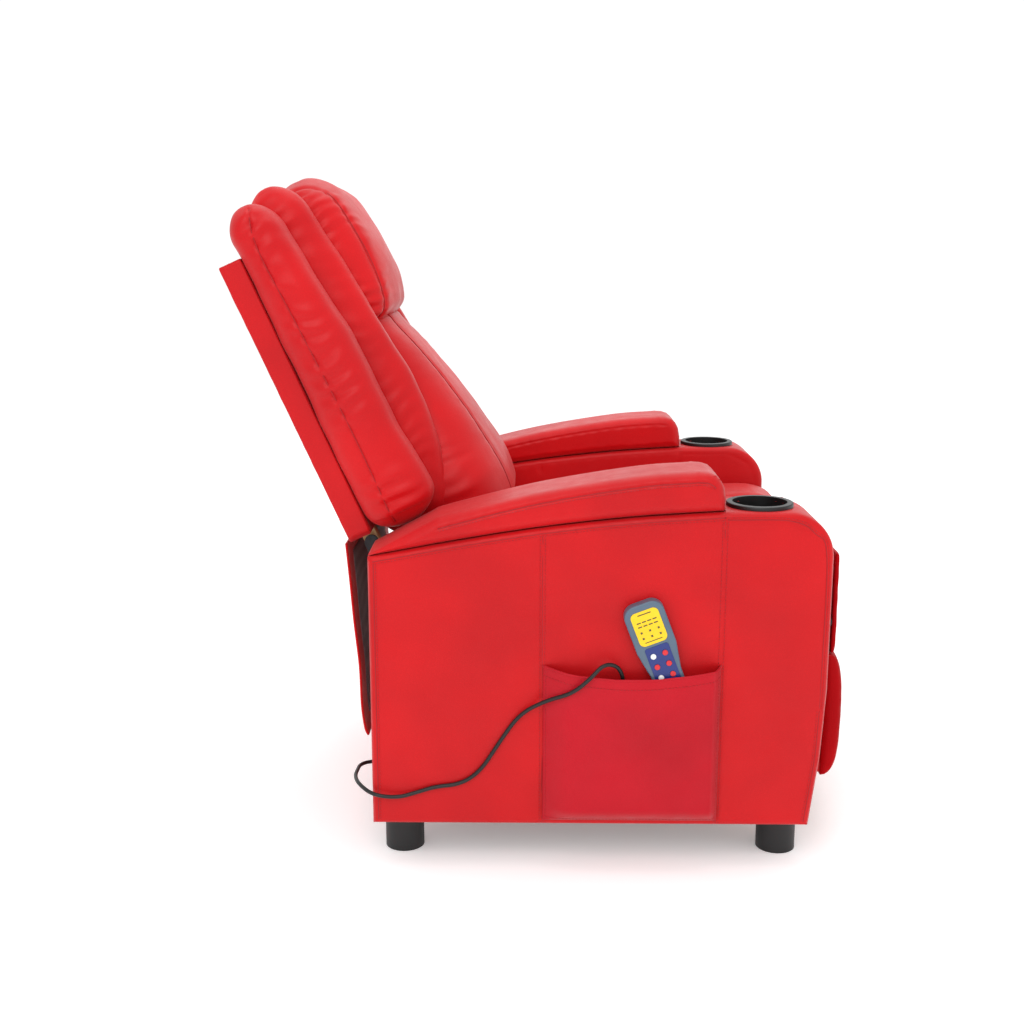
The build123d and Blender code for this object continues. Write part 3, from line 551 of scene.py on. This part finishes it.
def makeSideCover(side, name):
    shape = sideShape()
    outer, inner = side * halfWidth, side * innerWall
    piece = slabPiece(f"sideLeather_{name}", shape, outer, inner)
    cutCup(piece, side)
    finishPiece(piece, "redLeather", "chair_base", "red_leather", f"side_cover_{name}")
    out = (0, side, 0)
    for number, seam in enumerate(shape["seams"]):
        path = resample(smoothLine(seam["path"], 60), 60)
        # A dark red line in each seam groove: painted shade.
        makePiping(f"sideSeamShade_{name}_{number}", onSlab(shape, path, outer, inner, 0.1), 0.8, "seamShadeLine",
            "chair_base", "red_leather")
        rows = (-3.6, 3.6) if number < 2 else (3.4,)
        for row, gap in enumerate(rows):
            stitchRow(f"sideStitch_{name}_{number}_{row}", onSlab(shape, beside(path, gap), outer, inner),
                out, "chair_base")


def cutCup(piece, side):
    """The shelf opens for the cup: faces within 43 mm of its axis and above the cup's floor go."""
    centre = place(338, side * 297.5, 0)
    shape = bmesh.new()
    shape.from_mesh(piece.data)
    spots = [face for face in shape.faces
             if (face.calc_center_median().xy - Vector(centre[:2])).length < 0.043
             and face.calc_center_median().z > 0.5 and abs(face.normal.z) > 0.5]
    bmesh.ops.delete(shape, geom=spots, context="FACES")
    shape.to_mesh(piece.data)
    shape.free()


def makeArmPad(side, name):
    rows, columns = armPad["rows"], armPad["columns"]
    crown = smoothLine([(-235, 480), (-150, 526), (-121, 538), (14, 572), (156, 596), (241, 603)], 80)
    nose = np.array([(254, 602.5), (265, 599), (273, 592), (278, 582)])
    shape = {"bottom": resample(smoothLine([(x, z + 1) for x, z in armSeam], 60), rows),
             "top": resample(np.vstack([crown, nose]), rows),
             "left": resample([(-235, 479), (-235, 480)], columns),
                 "right": resample([(281, 547), (281, 566), (278, 582)], columns)}
    shape["rim"] = outlineOf(shape)[::2]
    shape.update({key: armPad[key] for key in ("roll", "puff", "wave", "waveLength")})
    upper = beside(resample(np.vstack([crown[18:], nose[:3]]), 60), 13)
    shape["seams"] = [
        {"path": upper[::3], "depth": 1.6, "width": 2.4, "gather": 0.7, "pitch": 24, "fade": 14},
        {"path": [(x, z + 8) for x, z in armSeam], "depth": 0.6, "width": 2.5, "gather": 0.5, "pitch": 30,
            "fade": 12},
    ]
    shape["plainBack"] = False
    outer, inner = side * halfWidth, side * innerWall
    piece = slabPiece(f"armPadLeather_{name}", shape, outer, inner)
    finishPiece(piece, "cushionLeather", "chair_base", "red_cushion", f"arm_pad_{name}")
    # A dark red line along the upper seam: painted shade in its groove.
    makePiping(f"armSeamShade_{name}", onSlab(shape, upper, outer, inner, 0.2), 0.9, "seamShadeLine", "chair_base",
        "red_leather")
    stitchRow(f"armStitch_{name}_0", onSlab(shape, beside(upper, 3.5), outer, inner), (0, side, 0),
        "chair_base")


for side, name in ((-1, "right"), (1, "left")):
    makeSideCover(side, name)
    makeArmPad(side, name)
print("arms ready")


# Soft pieces that rise from a flat base: seat, back, pillow, rolls and footrest.

def basePlane(origin, along, across, out):
    """A frame for a soft piece: world = origin + a*along + b*across + h*out, all in millimetres."""
    return {"origin": np.array(origin, float), "along": np.array(along, float),
        "across": np.array(across, float),
            "out": np.array(out, float)}


def toWorld(base, a, b, h):
    point = (base["origin"] + a[..., None] * base["along"] + b[..., None] * base["across"] + h[...,
        None] * base["out"])
    return place(point[..., 0], point[..., 1], point[..., 2])


def softHeight(soft, a, b):
    """Height over the base, mm: profile(a) * (1-|w|^p)^(1/p) across * (1-|e|^q)^(1/q) at the ends,
    seams sunk by depth exp(-(gap/width)^2), gathers beside them, and slow waves."""
    a0, a1 = soft["reach"]
    b0, b1 = soft["span"]
    w = np.clip(2 * (b - b0) / (b1 - b0) - 1, -1, 1)
    e = np.clip(2 * (a - a0) / (a1 - a0) - 1, -1, 1)
    p, q = soft["crown"], soft["ends"]
    body = np.interp(a, [k[0] for k in soft["profile"]], [k[1] for k in soft["profile"]])
    cross = np.clip(1 - np.abs(w) ** p, 0, 1) ** (1 / p)
    cap = np.clip(1 - np.abs(e) ** q, 0, 1) ** (1 / q)
    height = body * cross * cap
    inside = np.clip(cross * cap * 1.6 - 0.35, 0, 1)
    flat = np.stack([a, b], axis=-1)
    for seam in soft.get("seams", []):
        gap, along = distanceTo(seam["path"], flat)
        height -= inside * seam["depth"] * np.exp(-((gap / seam["width"]) ** 1.2))
        if seam.get("gather"):
            phase = along / seam.get("pitch", 20) * 2 * math.pi + 2.6 * ripple(flat, 80, 5)
            height += inside * seam["gather"] * np.sin(phase) * np.exp(-gap / seam.get("fade", 20))
    edge = np.minimum(np.minimum(b - b0, b1 - b), np.minimum(a - a0, a1 - a))
    gather = soft.get("gather", 0)
    if gather:
        along = np.where(np.minimum(b - b0, b1 - b) < np.minimum(a - a0, a1 - a), a, b)
        phase = along / soft.get("pitch", 22) * 2 * math.pi + 3.0 * ripple(flat, 70, 9)
        height += gather * np.sin(phase) * np.exp(-np.abs(edge - 4) / soft.get("fade",
            16)) * np.clip(cap * cross, 0, 1)
    return height + inside * soft.get("wave", 0) * ripple(flat, soft.get("waveLength", 110), 21)


def softPiece(name, soft):
    """A crowned closed form: a and b follow sines so that steep edges get more points, and a flat back."""
    rows, columns = soft.get("rows", 160), soft.get("columns", 110)
    a0, a1 = soft["reach"]
    b0, b1 = soft["span"]
    s = np.sin(np.linspace(-math.pi / 2, math.pi / 2, rows))
    t = np.sin(np.linspace(-math.pi / 2, math.pi / 2, columns))
    s = 0.5 * s + 0.5 * np.linspace(-1, 1, rows)
    a = ((a0 + a1) / 2 + (a1 - a0) / 2 * s)[:, None] + np.zeros((1, columns))
    b = ((b0 + b1) / 2 + (b1 - b0) / 2 * t)[None] + np.zeros((rows, 1))
    height = softHeight(soft, a, b)
    bend = soft.get("bend")
    lift = soft.get("base", 0.0)
    front = toWorld(soft["plane"], a, b, lift + height)
    back = toWorld(soft["plane"], a, b, lift + 0 * height)
    if bend:
        front, back = bend(front), bend(back)
    return meshFrom(name, [front, back], merge=0.0003)


def onSoft(soft, path, lift=0.3):
    """A seam's path on the crowned face: (a, b, height + lift)."""
    path = np.asarray(path, float)
    return toWorld(soft["plane"], path[:, 0], path[:, 1],
        soft.get("base", 0.0) + softHeight(soft, path[:, 0], path[:, 1]) + lift)


def straight(a0, b0, a1, b1, count=40):
    return resample([(a0, b0), (a1, b1)], count)


lean = math.radians(24)
backPlane = basePlane((-455, 0, 885), (math.sin(lean), 0, -math.cos(lean)), (0, 1, 0),
    (math.cos(lean), 0, math.sin(lean)))
seatPlane = basePlane((0, 0, 370), (1, 0, 0), (0, 1, 0), (0, 0, 1))
legPlane = basePlane((462, 0, 0), (0, 0, 1), (0, 1, 0), (1, 0, 0))

# Each soft tube: front and rear are its faces' heights over the board, middle and half its place and
# half-width across, all against the distance down the board; power squares the section, ends rounds the two ends.
softTubes = {
    "backLeather": {
        "reach": (128, 524), "ends": (20, 28), "power": 2.9, "middle": 0,
        "front": [(128, 150), (160, 179), (179, 186), (237, 207), (320, 230), (395, 245), (460, 253),
            (513, 247), (524, 236)],
        "rear": [(128, 60), (524, 60)],
        "half": [(128, 128), (182, 134), (237, 138), (303, 148), (355, 162), (390, 174), (433, 188),
            (465, 191), (524, 188)],
        "gather": 0.9, "pitch": 26, "fade": 0.34, "wave": 1.4,
        "seams": [{"path": [(150, -60), (187, -66), (260, -72), (358, -84), (436, -98), (500, -96)],
            "depth": 3.2, "width": 3.2},
                  {"path": [(150, 60), (187, 66), (260, 72), (358, 84), (436, 98), (500, 96)], "depth": 3.2,
                      "width": 3.2}]},
    "pillowLeather": {
        "reach": (-92, 178), "ends": (62, 34), "power": 3.2, "middle": 0,
        "front": [(-92, 178), (-60, 186), (-9, 201), (59, 211), (114, 208), (150, 196), (176, 170)],
        "rear": [(-92, 78), (-60, 66), (-20, 54), (40, 48), (178, 60)],
        "half": [(-92, 148), (60, 150), (150, 146), (178, 140)],
        "gather": 2.4, "pitch": 21, "fade": 0.5, "wave": 2.6,
        "seams": [{"path": [(-80, -112), (0, -118), (80, -121), (165, -117)], "depth": 4.5, "width": 4.0,
            "gather": 1.3, "pitch": 19, "fade": 16},
                  {"path": [(-80, 112), (0, 118), (80, 121), (165, 117)], "depth": 4.5, "width": 4.0,
                      "gather": 1.3, "pitch": 19, "fade": 16}]},
}
channel = {
    "reach": (-86, 486), "ends": (56, 40), "power": 2.3,
    "front": [(-86, 142), (-60, 146), (-6, 151), (69, 162), (126, 168), (173, 174), (240, 182), (303, 184),
        (355, 180), (400, 172), (450, 160), (486, 150)],
    "rear": [(-86, 56), (-60, 50), (-20, 43), (40, 40), (486, 44)],
    "middle": [(-86, 168), (60, 170), (300, 170), (486, 176)],
        "half": [(-86, 35), (300, 35), (440, 30), (486, 24)],
    "gather": 1.7, "pitch": 27, "fade": 0.6, "wave": 2.0,
}
roll = {
    "reach": (-68, 458), "ends": (50, 44), "power": 2.5,
    "front": [(-68, 106), (-35, 112), (56, 122), (143, 134), (227, 139), (318, 142), (391, 151), (430, 152),
        (456, 146)],
    "rear": [(-68, 36), (-33, 33), (-5, 36), (41, 37), (400, 37), (456, 42)],
    "middle": [(-66, 238), (400, 238), (456, 232)], "half": [(-68, 43), (380, 43), (430, 40), (456, 36)],
    "gather": 1.7, "pitch": 30, "fade": 0.5, "wave": 2.0,
    "side": [(-58, 80), (-20, 72), (21, 70), (101, 74), (204, 78), (313, 81), (444, 79)],
}


def along(values, a):
    """A smooth value against a: Catmull-Rom through the given points, or one value everywhere."""
    if np.isscalar(values):
        return values + 0 * a
    line = smoothLine(values, 80)
    return np.interp(a, line[:, 0], line[:, 1])


def tubeSection(soft, a):
    top = np.clip(1 - (a - soft["reach"][0]) / soft["ends"][0], 0, 1)
    low = np.clip(1 - (soft["reach"][1] - a) / soft["ends"][1], 0, 1)
    cap = np.sqrt(np.clip(1 - top**2, 0, 1) * np.clip(1 - low**2, 0, 1))
    front, rear = along(soft["front"], a), along(soft["rear"], a)
    middle, half = along(soft["middle"], a), along(soft["half"], a) * cap
    return middle, half, (front + rear) / 2, (front - rear) / 2 * cap


def softTube(name, soft, mirror=1):
    """A closed roll: b = middle + half sign(cos t)|cos t|^(2/p), h = centre + depth sign(sin t)|sin t|^(2/p),
    then moved along its normal by gathers that fade from the sides, sunk seams and slow waves."""
    rows, columns = 230, 129
    share = np.linspace(-1, 1, rows)
    share = 0.45 * share + 0.55 * np.sin(share * math.pi / 2)
    a = (sum(soft["reach"]) / 2 + (soft["reach"][1] - soft["reach"][0]) / 2 * share)[:, None]
    t = np.linspace(0, 2 * math.pi, columns)[None]
    middle, half, centre, depth = tubeSection(soft, a)
    power = 2 / soft["power"]
    b = middle + half * np.sign(np.cos(t)) * np.abs(np.cos(t)) ** power
    h = centre + depth * np.sign(np.sin(t)) * np.abs(np.sin(t)) ** power
    a = a + 0 * t
    flat = np.stack([a, b, h], axis=-1)
    da, dt = np.gradient(flat, axis=0), np.gradient(flat, axis=1)
    normal = np.cross(da, dt)
    normal *= np.sign((normal * np.stack([0 * a, b - middle, h - centre], axis=-1)).sum(-1,
        keepdims=True) + 1e-9)
    normal /= np.linalg.norm(normal, axis=-1, keepdims=True) + 1e-9
    close = np.exp(-(1 - np.abs(np.cos(t))) / soft["fade"] * 2.2) + 0 * a
    patchy = np.clip(0.55 + 1.3 * ripple(flat, 120, 17), 0, 1.6)
    phase = a / soft["pitch"] * 2 * math.pi + 4.0 * ripple(flat, 85, 9)
    move = soft["gather"] * np.sin(phase) * close * patchy * np.clip(h - 42, 0, 20) / 20
    move += soft["wave"] * ripple(flat, 75, 23)
    for seam in soft.get("seams", []):
        gap, run = distanceTo(resample(smoothLine(seam["path"], 30), 30), flat[..., :2])
        here = np.sin(t) > 0
        sink = seam["depth"] * np.exp(-((gap / seam["width"]) ** 1.3))
        turns = run / seam.get("pitch", 24)
        pucker = seam.get("gather", 0.5) * np.sin(turns * 2 * math.pi + 3 * ripple(flat, 60, 29)) * patchy
        move += here * (pucker * np.exp(-gap / seam.get("fade", 14)) - sink)
    if "side" in soft:
        gap, run = distanceTo(resample(smoothLine(soft["side"], 40), 40), np.stack([a, h], axis=-1))
        outside = np.cos(t) > 0.2
        move += outside * (0.5 * np.sin(run / 27 * 2 * math.pi + 3 * ripple(flat, 60,
            37)) * patchy * np.exp(-gap / 16)
                           - 2.4 * np.exp(-((gap / 2.2) ** 1.4)))
    ease = np.clip(np.minimum(np.arange(rows), np.arange(rows)[::-1]) / 6, 0, 1)[:, None]
    flat = flat + normal * (move * ease)[..., None]
    grid = toWorld(backPlane, flat[..., 0], mirror * flat[..., 1], flat[..., 2])
    return meshFrom(name, [grid]), grid


def seamLine(soft, path, mirror=1):
    """A seam's path laid on a tube's front face, sunk 1.2 mm, and kept off its rounded sides and top."""
    line = resample(smoothLine(path, 60), 90)
    middle, half, centre, depth = tubeSection(soft, line[:, 0])
    w = np.clip((line[:, 1] - middle) / half, -1, 1)
    h = centre + depth * (1 - np.abs(w) ** soft["power"]) ** (1 / soft["power"])
    keep = (np.abs(w) < 0.88) & (line[:, 0] > soft["reach"][0] + 0.7 * soft["ends"][0])
    return toWorld(backPlane, line[keep, 0], mirror * line[keep, 1], h[keep] - 1.2)


def makeBack():
    for name, node in (("backLeather", "back_cushion"), ("pillowLeather", "head_pillow")):
        piece, grid = softTube(name, softTubes[name])
        finishPiece(piece, "cushionLeather", "back", "red_cushion", node)
        for number, seam in enumerate(softTubes[name]["seams"]):
            line = seamLine(softTubes[name], seam["path"])
            # A dark red line along each seam: painted shade in the groove.
            makePiping(f"{name}Seam_{number}", line, 0.65, "seamShadeLine", "back", "red_leather")
    for mirror, name in ((-1, "right"), (1, "left")):
        piece, grid = softTube(f"channelLeather_{name}", channel, mirror)
        finishPiece(piece, "cushionLeather", "back", "red_cushion")
        piece, grid = softTube(f"rollLeather_{name}", roll, mirror)
        finishPiece(piece, "cushionLeather", "back", "red_cushion", f"back_bolster_{name}")
        side = resample(smoothLine(roll["side"], 60), 90)
        middle, half, centre, depth = tubeSection(roll, side[:, 0])
        w = np.clip((side[:, 1] - centre) / depth, -1, 1)
        b = middle + half * (1 - np.abs(w) ** roll["power"]) ** (1 / roll["power"])
        # A dark red line along the roll's side seam: painted shade in the groove.
        makePiping(f"rollSeamShade_{name}", toWorld(backPlane, side[:, 0], mirror * (b - 1.0), side[:, 1]), 0.65,
            "seamShadeLine", "back", "red_leather")


makeBack()
print("back ready")

seat = {
    "plane": seatPlane, "base": 44.0, "reach": (-80, 447), "span": (-231, 231), "crown": 9.0, "ends": 7.0,
    "profile": [(-80, 60), (60, 64), (250, 68), (400, 78), (447, 74)],
    "gather": 0.5, "pitch": 37, "fade": 14, "wave": 1.8, "rows": 150, "columns": 150,
    "seams": [
        {"path": straight(-80, -82, 447, -82, 8), "depth": 12, "width": 9, "gather": 1.6, "pitch": 28,
            "fade": 24},
        {"path": straight(-80, 82, 447, 82, 8), "depth": 12, "width": 9, "gather": 1.6, "pitch": 28,
            "fade": 24},
    ],
}
seatFoot = {
    "plane": basePlane((0, 0, 416), (1, 0, 0), (0, -1, 0), (0, 0, -1)), "reach": (-78, 444),
        "span": (-211, 211),
    "crown": 12.0, "ends": 12.0, "profile": [(-80, 44), (447, 44)], "gather": 1.0, "pitch": 18, "fade": 20,
        "rows": 60, "columns": 60,
}
legPad = {
    "plane": legPlane, "base": 0.3, "reach": (95, 295), "span": (-231, 231), "crown": 7.0, "ends": 3.2,
    "profile": [(95, 35.5), (195, 37.5), (295, 35)], "gather": 0.3, "pitch": 34, "fade": 12, "wave": 1.2,
        "rows": 110, "columns": 160,
    "seams": [
        {"path": straight(95, -82, 295, -82, 6), "depth": 9, "width": 8, "gather": 1.2, "pitch": 22,
            "fade": 20},
        {"path": straight(95, 82, 295, 82, 6), "depth": 9, "width": 8, "gather": 1.2, "pitch": 22,
            "fade": 20},
    ],
}
apron = {
    "plane": basePlane((471, 0, 0), (0, 0, 1), (0, 1, 0), (1, 0, 0)), "reach": (296.5, 456),
        "span": (-226, 226), "crown": 9.0, "ends": 6.0,
    "profile": [(296, 9), (456, 9)], "gather": 0.3, "pitch": 37, "fade": 20, "wave": 1.0, "rows": 90,
        "columns": 120,
    "seams": [
        {"path": straight(300, -82, 456, -82, 6), "depth": 3.5, "width": 7, "gather": 0.6, "pitch": 31,
            "fade": 20},
        {"path": straight(300, 82, 456, 82, 6), "depth": 3.5, "width": 7, "gather": 0.6, "pitch": 31,
            "fade": 20},
    ],
}


def makeSeat():
    top = softPiece("seatLeather", seat)
    finishPiece(top, "cushionLeather", "seat", "red_cushion", "seat_cushion")
    foot = softPiece("seatBoxing", seatFoot)
    finishPiece(foot, "redLeather", "seat", "red_leather")
    # The pad and apron take the darker copy of the leather, whose colour is painted shade.
    pad = softPiece("footrestLeather", legPad)
    finishPiece(pad, "shadedFrontLeather", "leg_rest", "red_cushion", "footrest_pad")
    flap = softPiece("apronLeather", apron)
    finishPiece(flap, "shadedFrontLeather", None, "red_cushion", "front_apron")
    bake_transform(flap)
    for prefix, soft, out, body in (("seatStitch", seat, (0, 0, 1), "seat"),
        ("legStitch", legPad, (1, 0, 0), "leg_rest")):
        for number, seam in enumerate(soft["seams"]):
            path = resample(np.asarray(seam["path"])[1:-1], 60)
            for row, gap in enumerate((-4.5, 4.5)):
                stitchRow(f"{prefix}_{number}_{row}", onSoft(soft, beside(path, gap)), out, body)


makeSeat()
print("seat and footrest ready")


# Board, pocket, flap and cord.

def makeBoard():
    """The covered board: its rear face, the wrap round its edges, and stitches along three of them."""
    soft = {"plane": basePlane(backPlane["origin"] + 18 * backPlane["out"], backPlane["along"], (0, 1, 0),
        backPlane["out"]),
            "reach": (-2, 446), "span": (-256, 256), "crown": 40.0, "ends": 40.0,
                "profile": [(-2, 17), (446, 17)],
            "gather": 0.3, "pitch": 40, "rows": 90, "columns": 90}
    rear = dict(soft, plane=basePlane(soft["plane"]["origin"], soft["plane"]["along"], (0, -1, 0),
        -soft["plane"]["out"]),
                profile=[(-2, 18), (446, 18)], wave=0.5)
    piece = softPiece("boardRearLeather", rear)
    finishPiece(piece, "redLeather", "back", "red_leather", "back_board")
    band = boardBand()
    finishPiece(band, "redLeather", "back", "red_leather")
    edge = [straight(6, y, 440, y, 30) for y in (-246, 246)] + [straight(8, -240, 8, 240, 30)]
    for number, path in enumerate(edge):
        stitchRow(f"boardStitch_{number}", onSoft(rear, path * np.array([1, -1])), rear["plane"]["out"],
            "back")


def boardBand():
    """The wrap round the board's edges, 36 mm deep, closed in front by a flat cloth."""
    corner = arcLine((2, 253.5), 4, 180, 90, 6)
    left = np.vstack([straight(446, -257.5, 4, -257.5, 40), (corner * [1, -1])[::-1]])
    outline = np.vstack([left, straight(-2, -252, -2, 252, 40), corner, straight(4, 257.5, 446, 257.5, 40)])
    depth = np.array([1.0, 1.4, 3.0, 10.0, 18.0, 26.0, 34.0, 35.8, 36.4])
    pull = np.array([2.0, 0.8, 0.0, 0.2, 0.3, 0.2, 0.0, 0.6, 3.0])
    centre = np.array([150.0, 0.0])
    inward = (centre - outline) / np.linalg.norm(centre - outline, axis=1, keepdims=True)
    spots = outline[:, None] + inward[:, None] * pull[None, :, None]
    outer = toWorld(backPlane, spots[..., 0], spots[..., 1], depth[None] + 0 * spots[..., 0])
    spots = outline[:, None] + inward[:, None] * (pull + 4)[None, :, None]
    inner = toWorld(backPlane, spots[..., 0], spots[..., 1], np.clip(depth, 3, 34)[None] + 0 * spots[..., 0])
    across = np.linspace(-1, 1, 40)[None]
    down = np.linspace(2, 445, 60)[:, None]
    cloth = toWorld(backPlane, down + 0 * across, 254 * across + 0 * down, 36.2 + 0 * down * across)
    lining = toWorld(backPlane, down + 0 * across, 254 * across + 0 * down, 35.4 + 0 * down * across)
    lips = [np.stack([outer[:, k], inner[:, k]], axis=1) for k in (0, -1)]
    lips += [np.stack([cloth[:, k], lining[:, k]], axis=1) for k in (0, -1)]
    ends = [np.stack([outer[k], inner[k]], axis=1) for k in (0, -1)]
    ends += [np.stack([cloth[k], lining[k]], axis=1) for k in (0, -1)]
    return meshFrom("boardEdgeLeather", [outer, inner, cloth, lining] + lips + ends)


pocket = {"sag": 15.0, "hem": 14.0, "wall": 1.6}


def pocketLift(x, z):
    """How far the pocket stands off the side, mm: 23 * rise from its three sewn edges, with soft puckers."""
    rear = np.clip((x - 20) / 48, 0, 1)
    front = np.clip((280 - x) / 14, 0, 1)
    low = np.clip((z - 76) / 26, 0, 1)
    rise = np.sin(rear * math.pi / 2) * np.sin(front * math.pi / 2) * np.sin(low * math.pi / 2)
    flat = np.stack(np.broadcast_arrays(x, z), axis=-1)
    folds = np.sin(x / 9.0 + 2 * ripple(flat, 60, 31))
    pucker = folds * np.exp(-np.abs(302 - z) / 16) * 0.9 + 1.2 * ripple(flat, 80, 33)
    return 1.2 + 23.4 * rise + pucker * np.clip(rise * 2, 0, 1)


def makePocket():
    """A patch: the outline's grid, y = -(half width) - lift, with a wall added and a folded hem on top."""
    rows, columns = 130, 100
    x = np.linspace(20, 280, rows)
    top = 318 - pocket["sag"] * np.sin((x - 20) / 260 * math.pi)
    v = np.linspace(0, 1, columns)
    z = 76 + (top[:, None] - 76) * v[None]
    xx = x[:, None] + 0 * z
    outer = place(xx, -357.5 - pocketLift(xx, z) - pocket["wall"], z)
    inner = place(xx, -357.5 - pocketLift(xx, z), z)
    rims = [np.stack([outer[:, 0], inner[:, 0]], 1), np.stack([outer[:, -1], inner[:, -1]], 1),
            np.stack([outer[0], inner[0]], 1), np.stack([outer[-1], inner[-1]], 1)]
    piece = meshFrom("pocketLeather", [outer, inner] + rims)
    finishPiece(piece, "pocketLeather", "chair_base", "pocket_leather", "pocket_panel")
    hemTop = place(x, -357.5 - pocketLift(x, top) - 1.0, top)
    makePiping("pocketHem", hemTop, 1.6, "pocketLeather", "chair_base", "pocket_leather")
    low = top - pocket["hem"]
    stitchRow("hemStitch", place(x, -357.5 - pocketLift(x, low) - pocket["wall"] - 0.3, low), (0, -1, 0),
        "chair_base")
    for number, line in enumerate(([(24, 80), (24, 312)], [(276, 80), (276, 312)], [(24, 81), (276, 81)])):
        path = resample(line, 60)
        stitchRow(f"pocketStitch_{number}", place(path[:, 0],
            -357.5 - pocketLift(path[:, 0], path[:, 1]) - pocket["wall"] - 0.3, path[:, 1]),
                  (0, -1, 0), "chair_base")


flap = {"wall": 3.0, "half": 250.0}


def makeFlap():
    """Stiff cloth carried along a J: down from the board, sweeping slightly back, then curling forward."""
    line = smoothLine([(-280, 474), (-272, 380), (-265, 290), (-262, 220), (-257, 178), (-252, 166)], 60)
    way = np.gradient(line, axis=0)
    way /= np.linalg.norm(way, axis=1, keepdims=True)
    normal = np.stack([way[:, 1], -way[:, 0]], axis=1)
    y = np.linspace(-flap["half"], flap["half"], 80)
    flat = np.stack(np.broadcast_arrays(np.linspace(0, 310, 60)[:, None], y[None]), axis=-1)
    wave = 1.3 * ripple(flat, 150, 41) * np.clip(flat[..., 0] / 60, 0, 1)
    faces = []
    for offset in (flap["wall"] / 2, -flap["wall"] / 2, -flap["wall"] / 2 - 0.6):
        shift = (offset + wave)[..., None] * normal[:, None]
        faces.append(place(line[:, None, 0] + shift[..., 0], y[None] + 0 * wave,
            line[:, None, 1] + shift[..., 1]))
    inset = np.s_[4:56, 8:72]
    pieces = (("flapLining", "lining", "grey_lining", faces[1][inset], faces[2][inset]),
              ("flapLeather", "redLeather", "red_leather", faces[1], faces[0]))
    for name, material, slot, front, back in pieces:
        rims = [np.stack([front[k], back[k]], 1) for k in (0, -1)] + [np.stack([front[:, k], back[:, k]],
            1) for k in (0, -1)]
        piece = meshFrom(name, [front, back] + rims, merge=0.00005)
        finishPiece(piece, material, "flap", slot, *(["rear_flap"] if name == "flapLeather" else []))
        flat = (0.40, 0.27) if name == "flapLining" else (0.50, 0.312)


cordRoute = [
    (-237.0, -205.0, 104.0), (-258.0, -208.0, 104.0), (-270.0, -228.0, 107.0), (-270.0, -258.0, 111.0),
    (-269.0, -296.0, 117.0), (-258.0, -338.0, 122.0), (-232.0, -372.0, 119.0), (-196.0, -367.0, 113.0),
    (-168.0, -363.0, 120.0), (-140.0, -362.0, 129.0), (-102.0, -362.0, 133.0), (-72.0, -362.0, 154.0),
    (-44.0, -362.0, 200.0), (-14.0, -363.0, 245.0), (26.0, -374.0, 270.0), (62.0, -391.0, 286.0),
    (88.0, -392.0, 309.0), (108.0, -385.0, 330.0), (131.0, -374.0, 322.0), (139.0, -369.0, 292.0),
        (134.0, -369.0, 248.0),
    (126.0, -369.0, 206.0), (142.0, -369.0, 164.0), (180.0, -368.0, 138.0), (222.0, -368.0, 142.0),
    (246.0, -368.0, 172.0), (238.9, -368.0, 207.8), (221.0, -368.0, 254.5),
]


def makeCord():
    """The lead: a round jacket 6 mm thick along a smooth NURBS line through the given route."""
    curve = bpy.data.curves.new("controlLead", "CURVE")
    curve.dimensions = "3D"
    spline = curve.splines.new("NURBS")
    spline.points.add(len(cordRoute) - 1)
    route = place(*np.array(cordRoute).T)
    spline.points.foreach_set("co", np.hstack([route, np.ones((len(route), 1))]).ravel())
    spline.order_u = 3
    spline.use_endpoint_u = True
    spline.resolution_u = 10
    curve.bevel_depth = 0.003
    curve.bevel_resolution = 4
    curve.use_fill_caps = True
    piece = bpy.data.objects.new("controlLead", curve)
    scene.collection.objects.link(piece)
    curve.materials.append(materials["cordRubber"])
    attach(piece, "chair_base")
    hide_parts("remote_lead")


labelMarks = [(0, -15, 20, 1.6)] + [(x, y, 6, 1.8) for y in (-26, -32) for x in (-12, -4, 4, 12)]
labelMarks += [(x, y, 3, 3) for y in (-41, -50) for x in (-13, 0, 13)] + [(0, -57, 26, 1.2)]


def makePrint():
    """Plain marks on the label: x = 159 + a cos - b sin, z = 416 + a sin + b cos, leaning 21 degrees."""
    turn = math.radians(21)
    grids = []
    for x, y, wide, high in labelMarks:
        a = np.array([0, -1, 1, 1, -1, -1])[[1, 2, 3, 4, 5]] * wide / 2
        b = np.array([-1, -1, 1, 1, -1]) * high / 2
        across = np.stack([a * 0, a, a, a * 0]) + x
        upward = np.stack([b * 0, b, b, b * 0]) + y
        out = np.array([-377.3, -377.3, -377.0, -377.0])[:, None] + 0 * across
        grids.append(place(159 + across * math.cos(turn) - upward * math.sin(turn), out,
                           416 + across * math.sin(turn) + upward * math.cos(turn)))
    finishPiece(meshFrom("labelPrint", grids, merge=0.00001), "inkGrey", "hand_control", "label_yellow")


makeBoard()
makePrint()
makePocket()
makeFlap()
makeCord()
print("pocket, flap and cord ready")

dress("blackPlastic", "cup_holder_right", "cup_holder_left", "control_box", "power_inlet", "cable_gland",
    "seat_motor",
      "back_motor_upper", "back_motor_lower")
dress("footPlastic", "feet")
dress("blackSteel", "base_plates", "swing_links", "rear_links", "drive_rods", "seat_plates",
    "back_brackets", "footrest_arms",
      "footrest_brackets", "swing_tube", "seat_tube", "arm_tube")
dress("zinc", "frame_bolts", "base_pins", "seat_pins", "seat_bolts", "back_bolts", "footrest_pins",
    "crank_pins", "seat_springs",
      "back_springs")
dress("timber", "side_frames", "front_rail", "seat_frame", "back_frame")
dress("redLeather", "rear_rail", "footrest_board")
dress("slatePlastic", "remote_case")
dress("yellowFilm", "remote_label")
dress("navyKeypad", "remote_keypad")
dress("whiteButton", "button_1", "button_5")
dress("redButton", "button_2", "button_3", "button_4", "button_6")
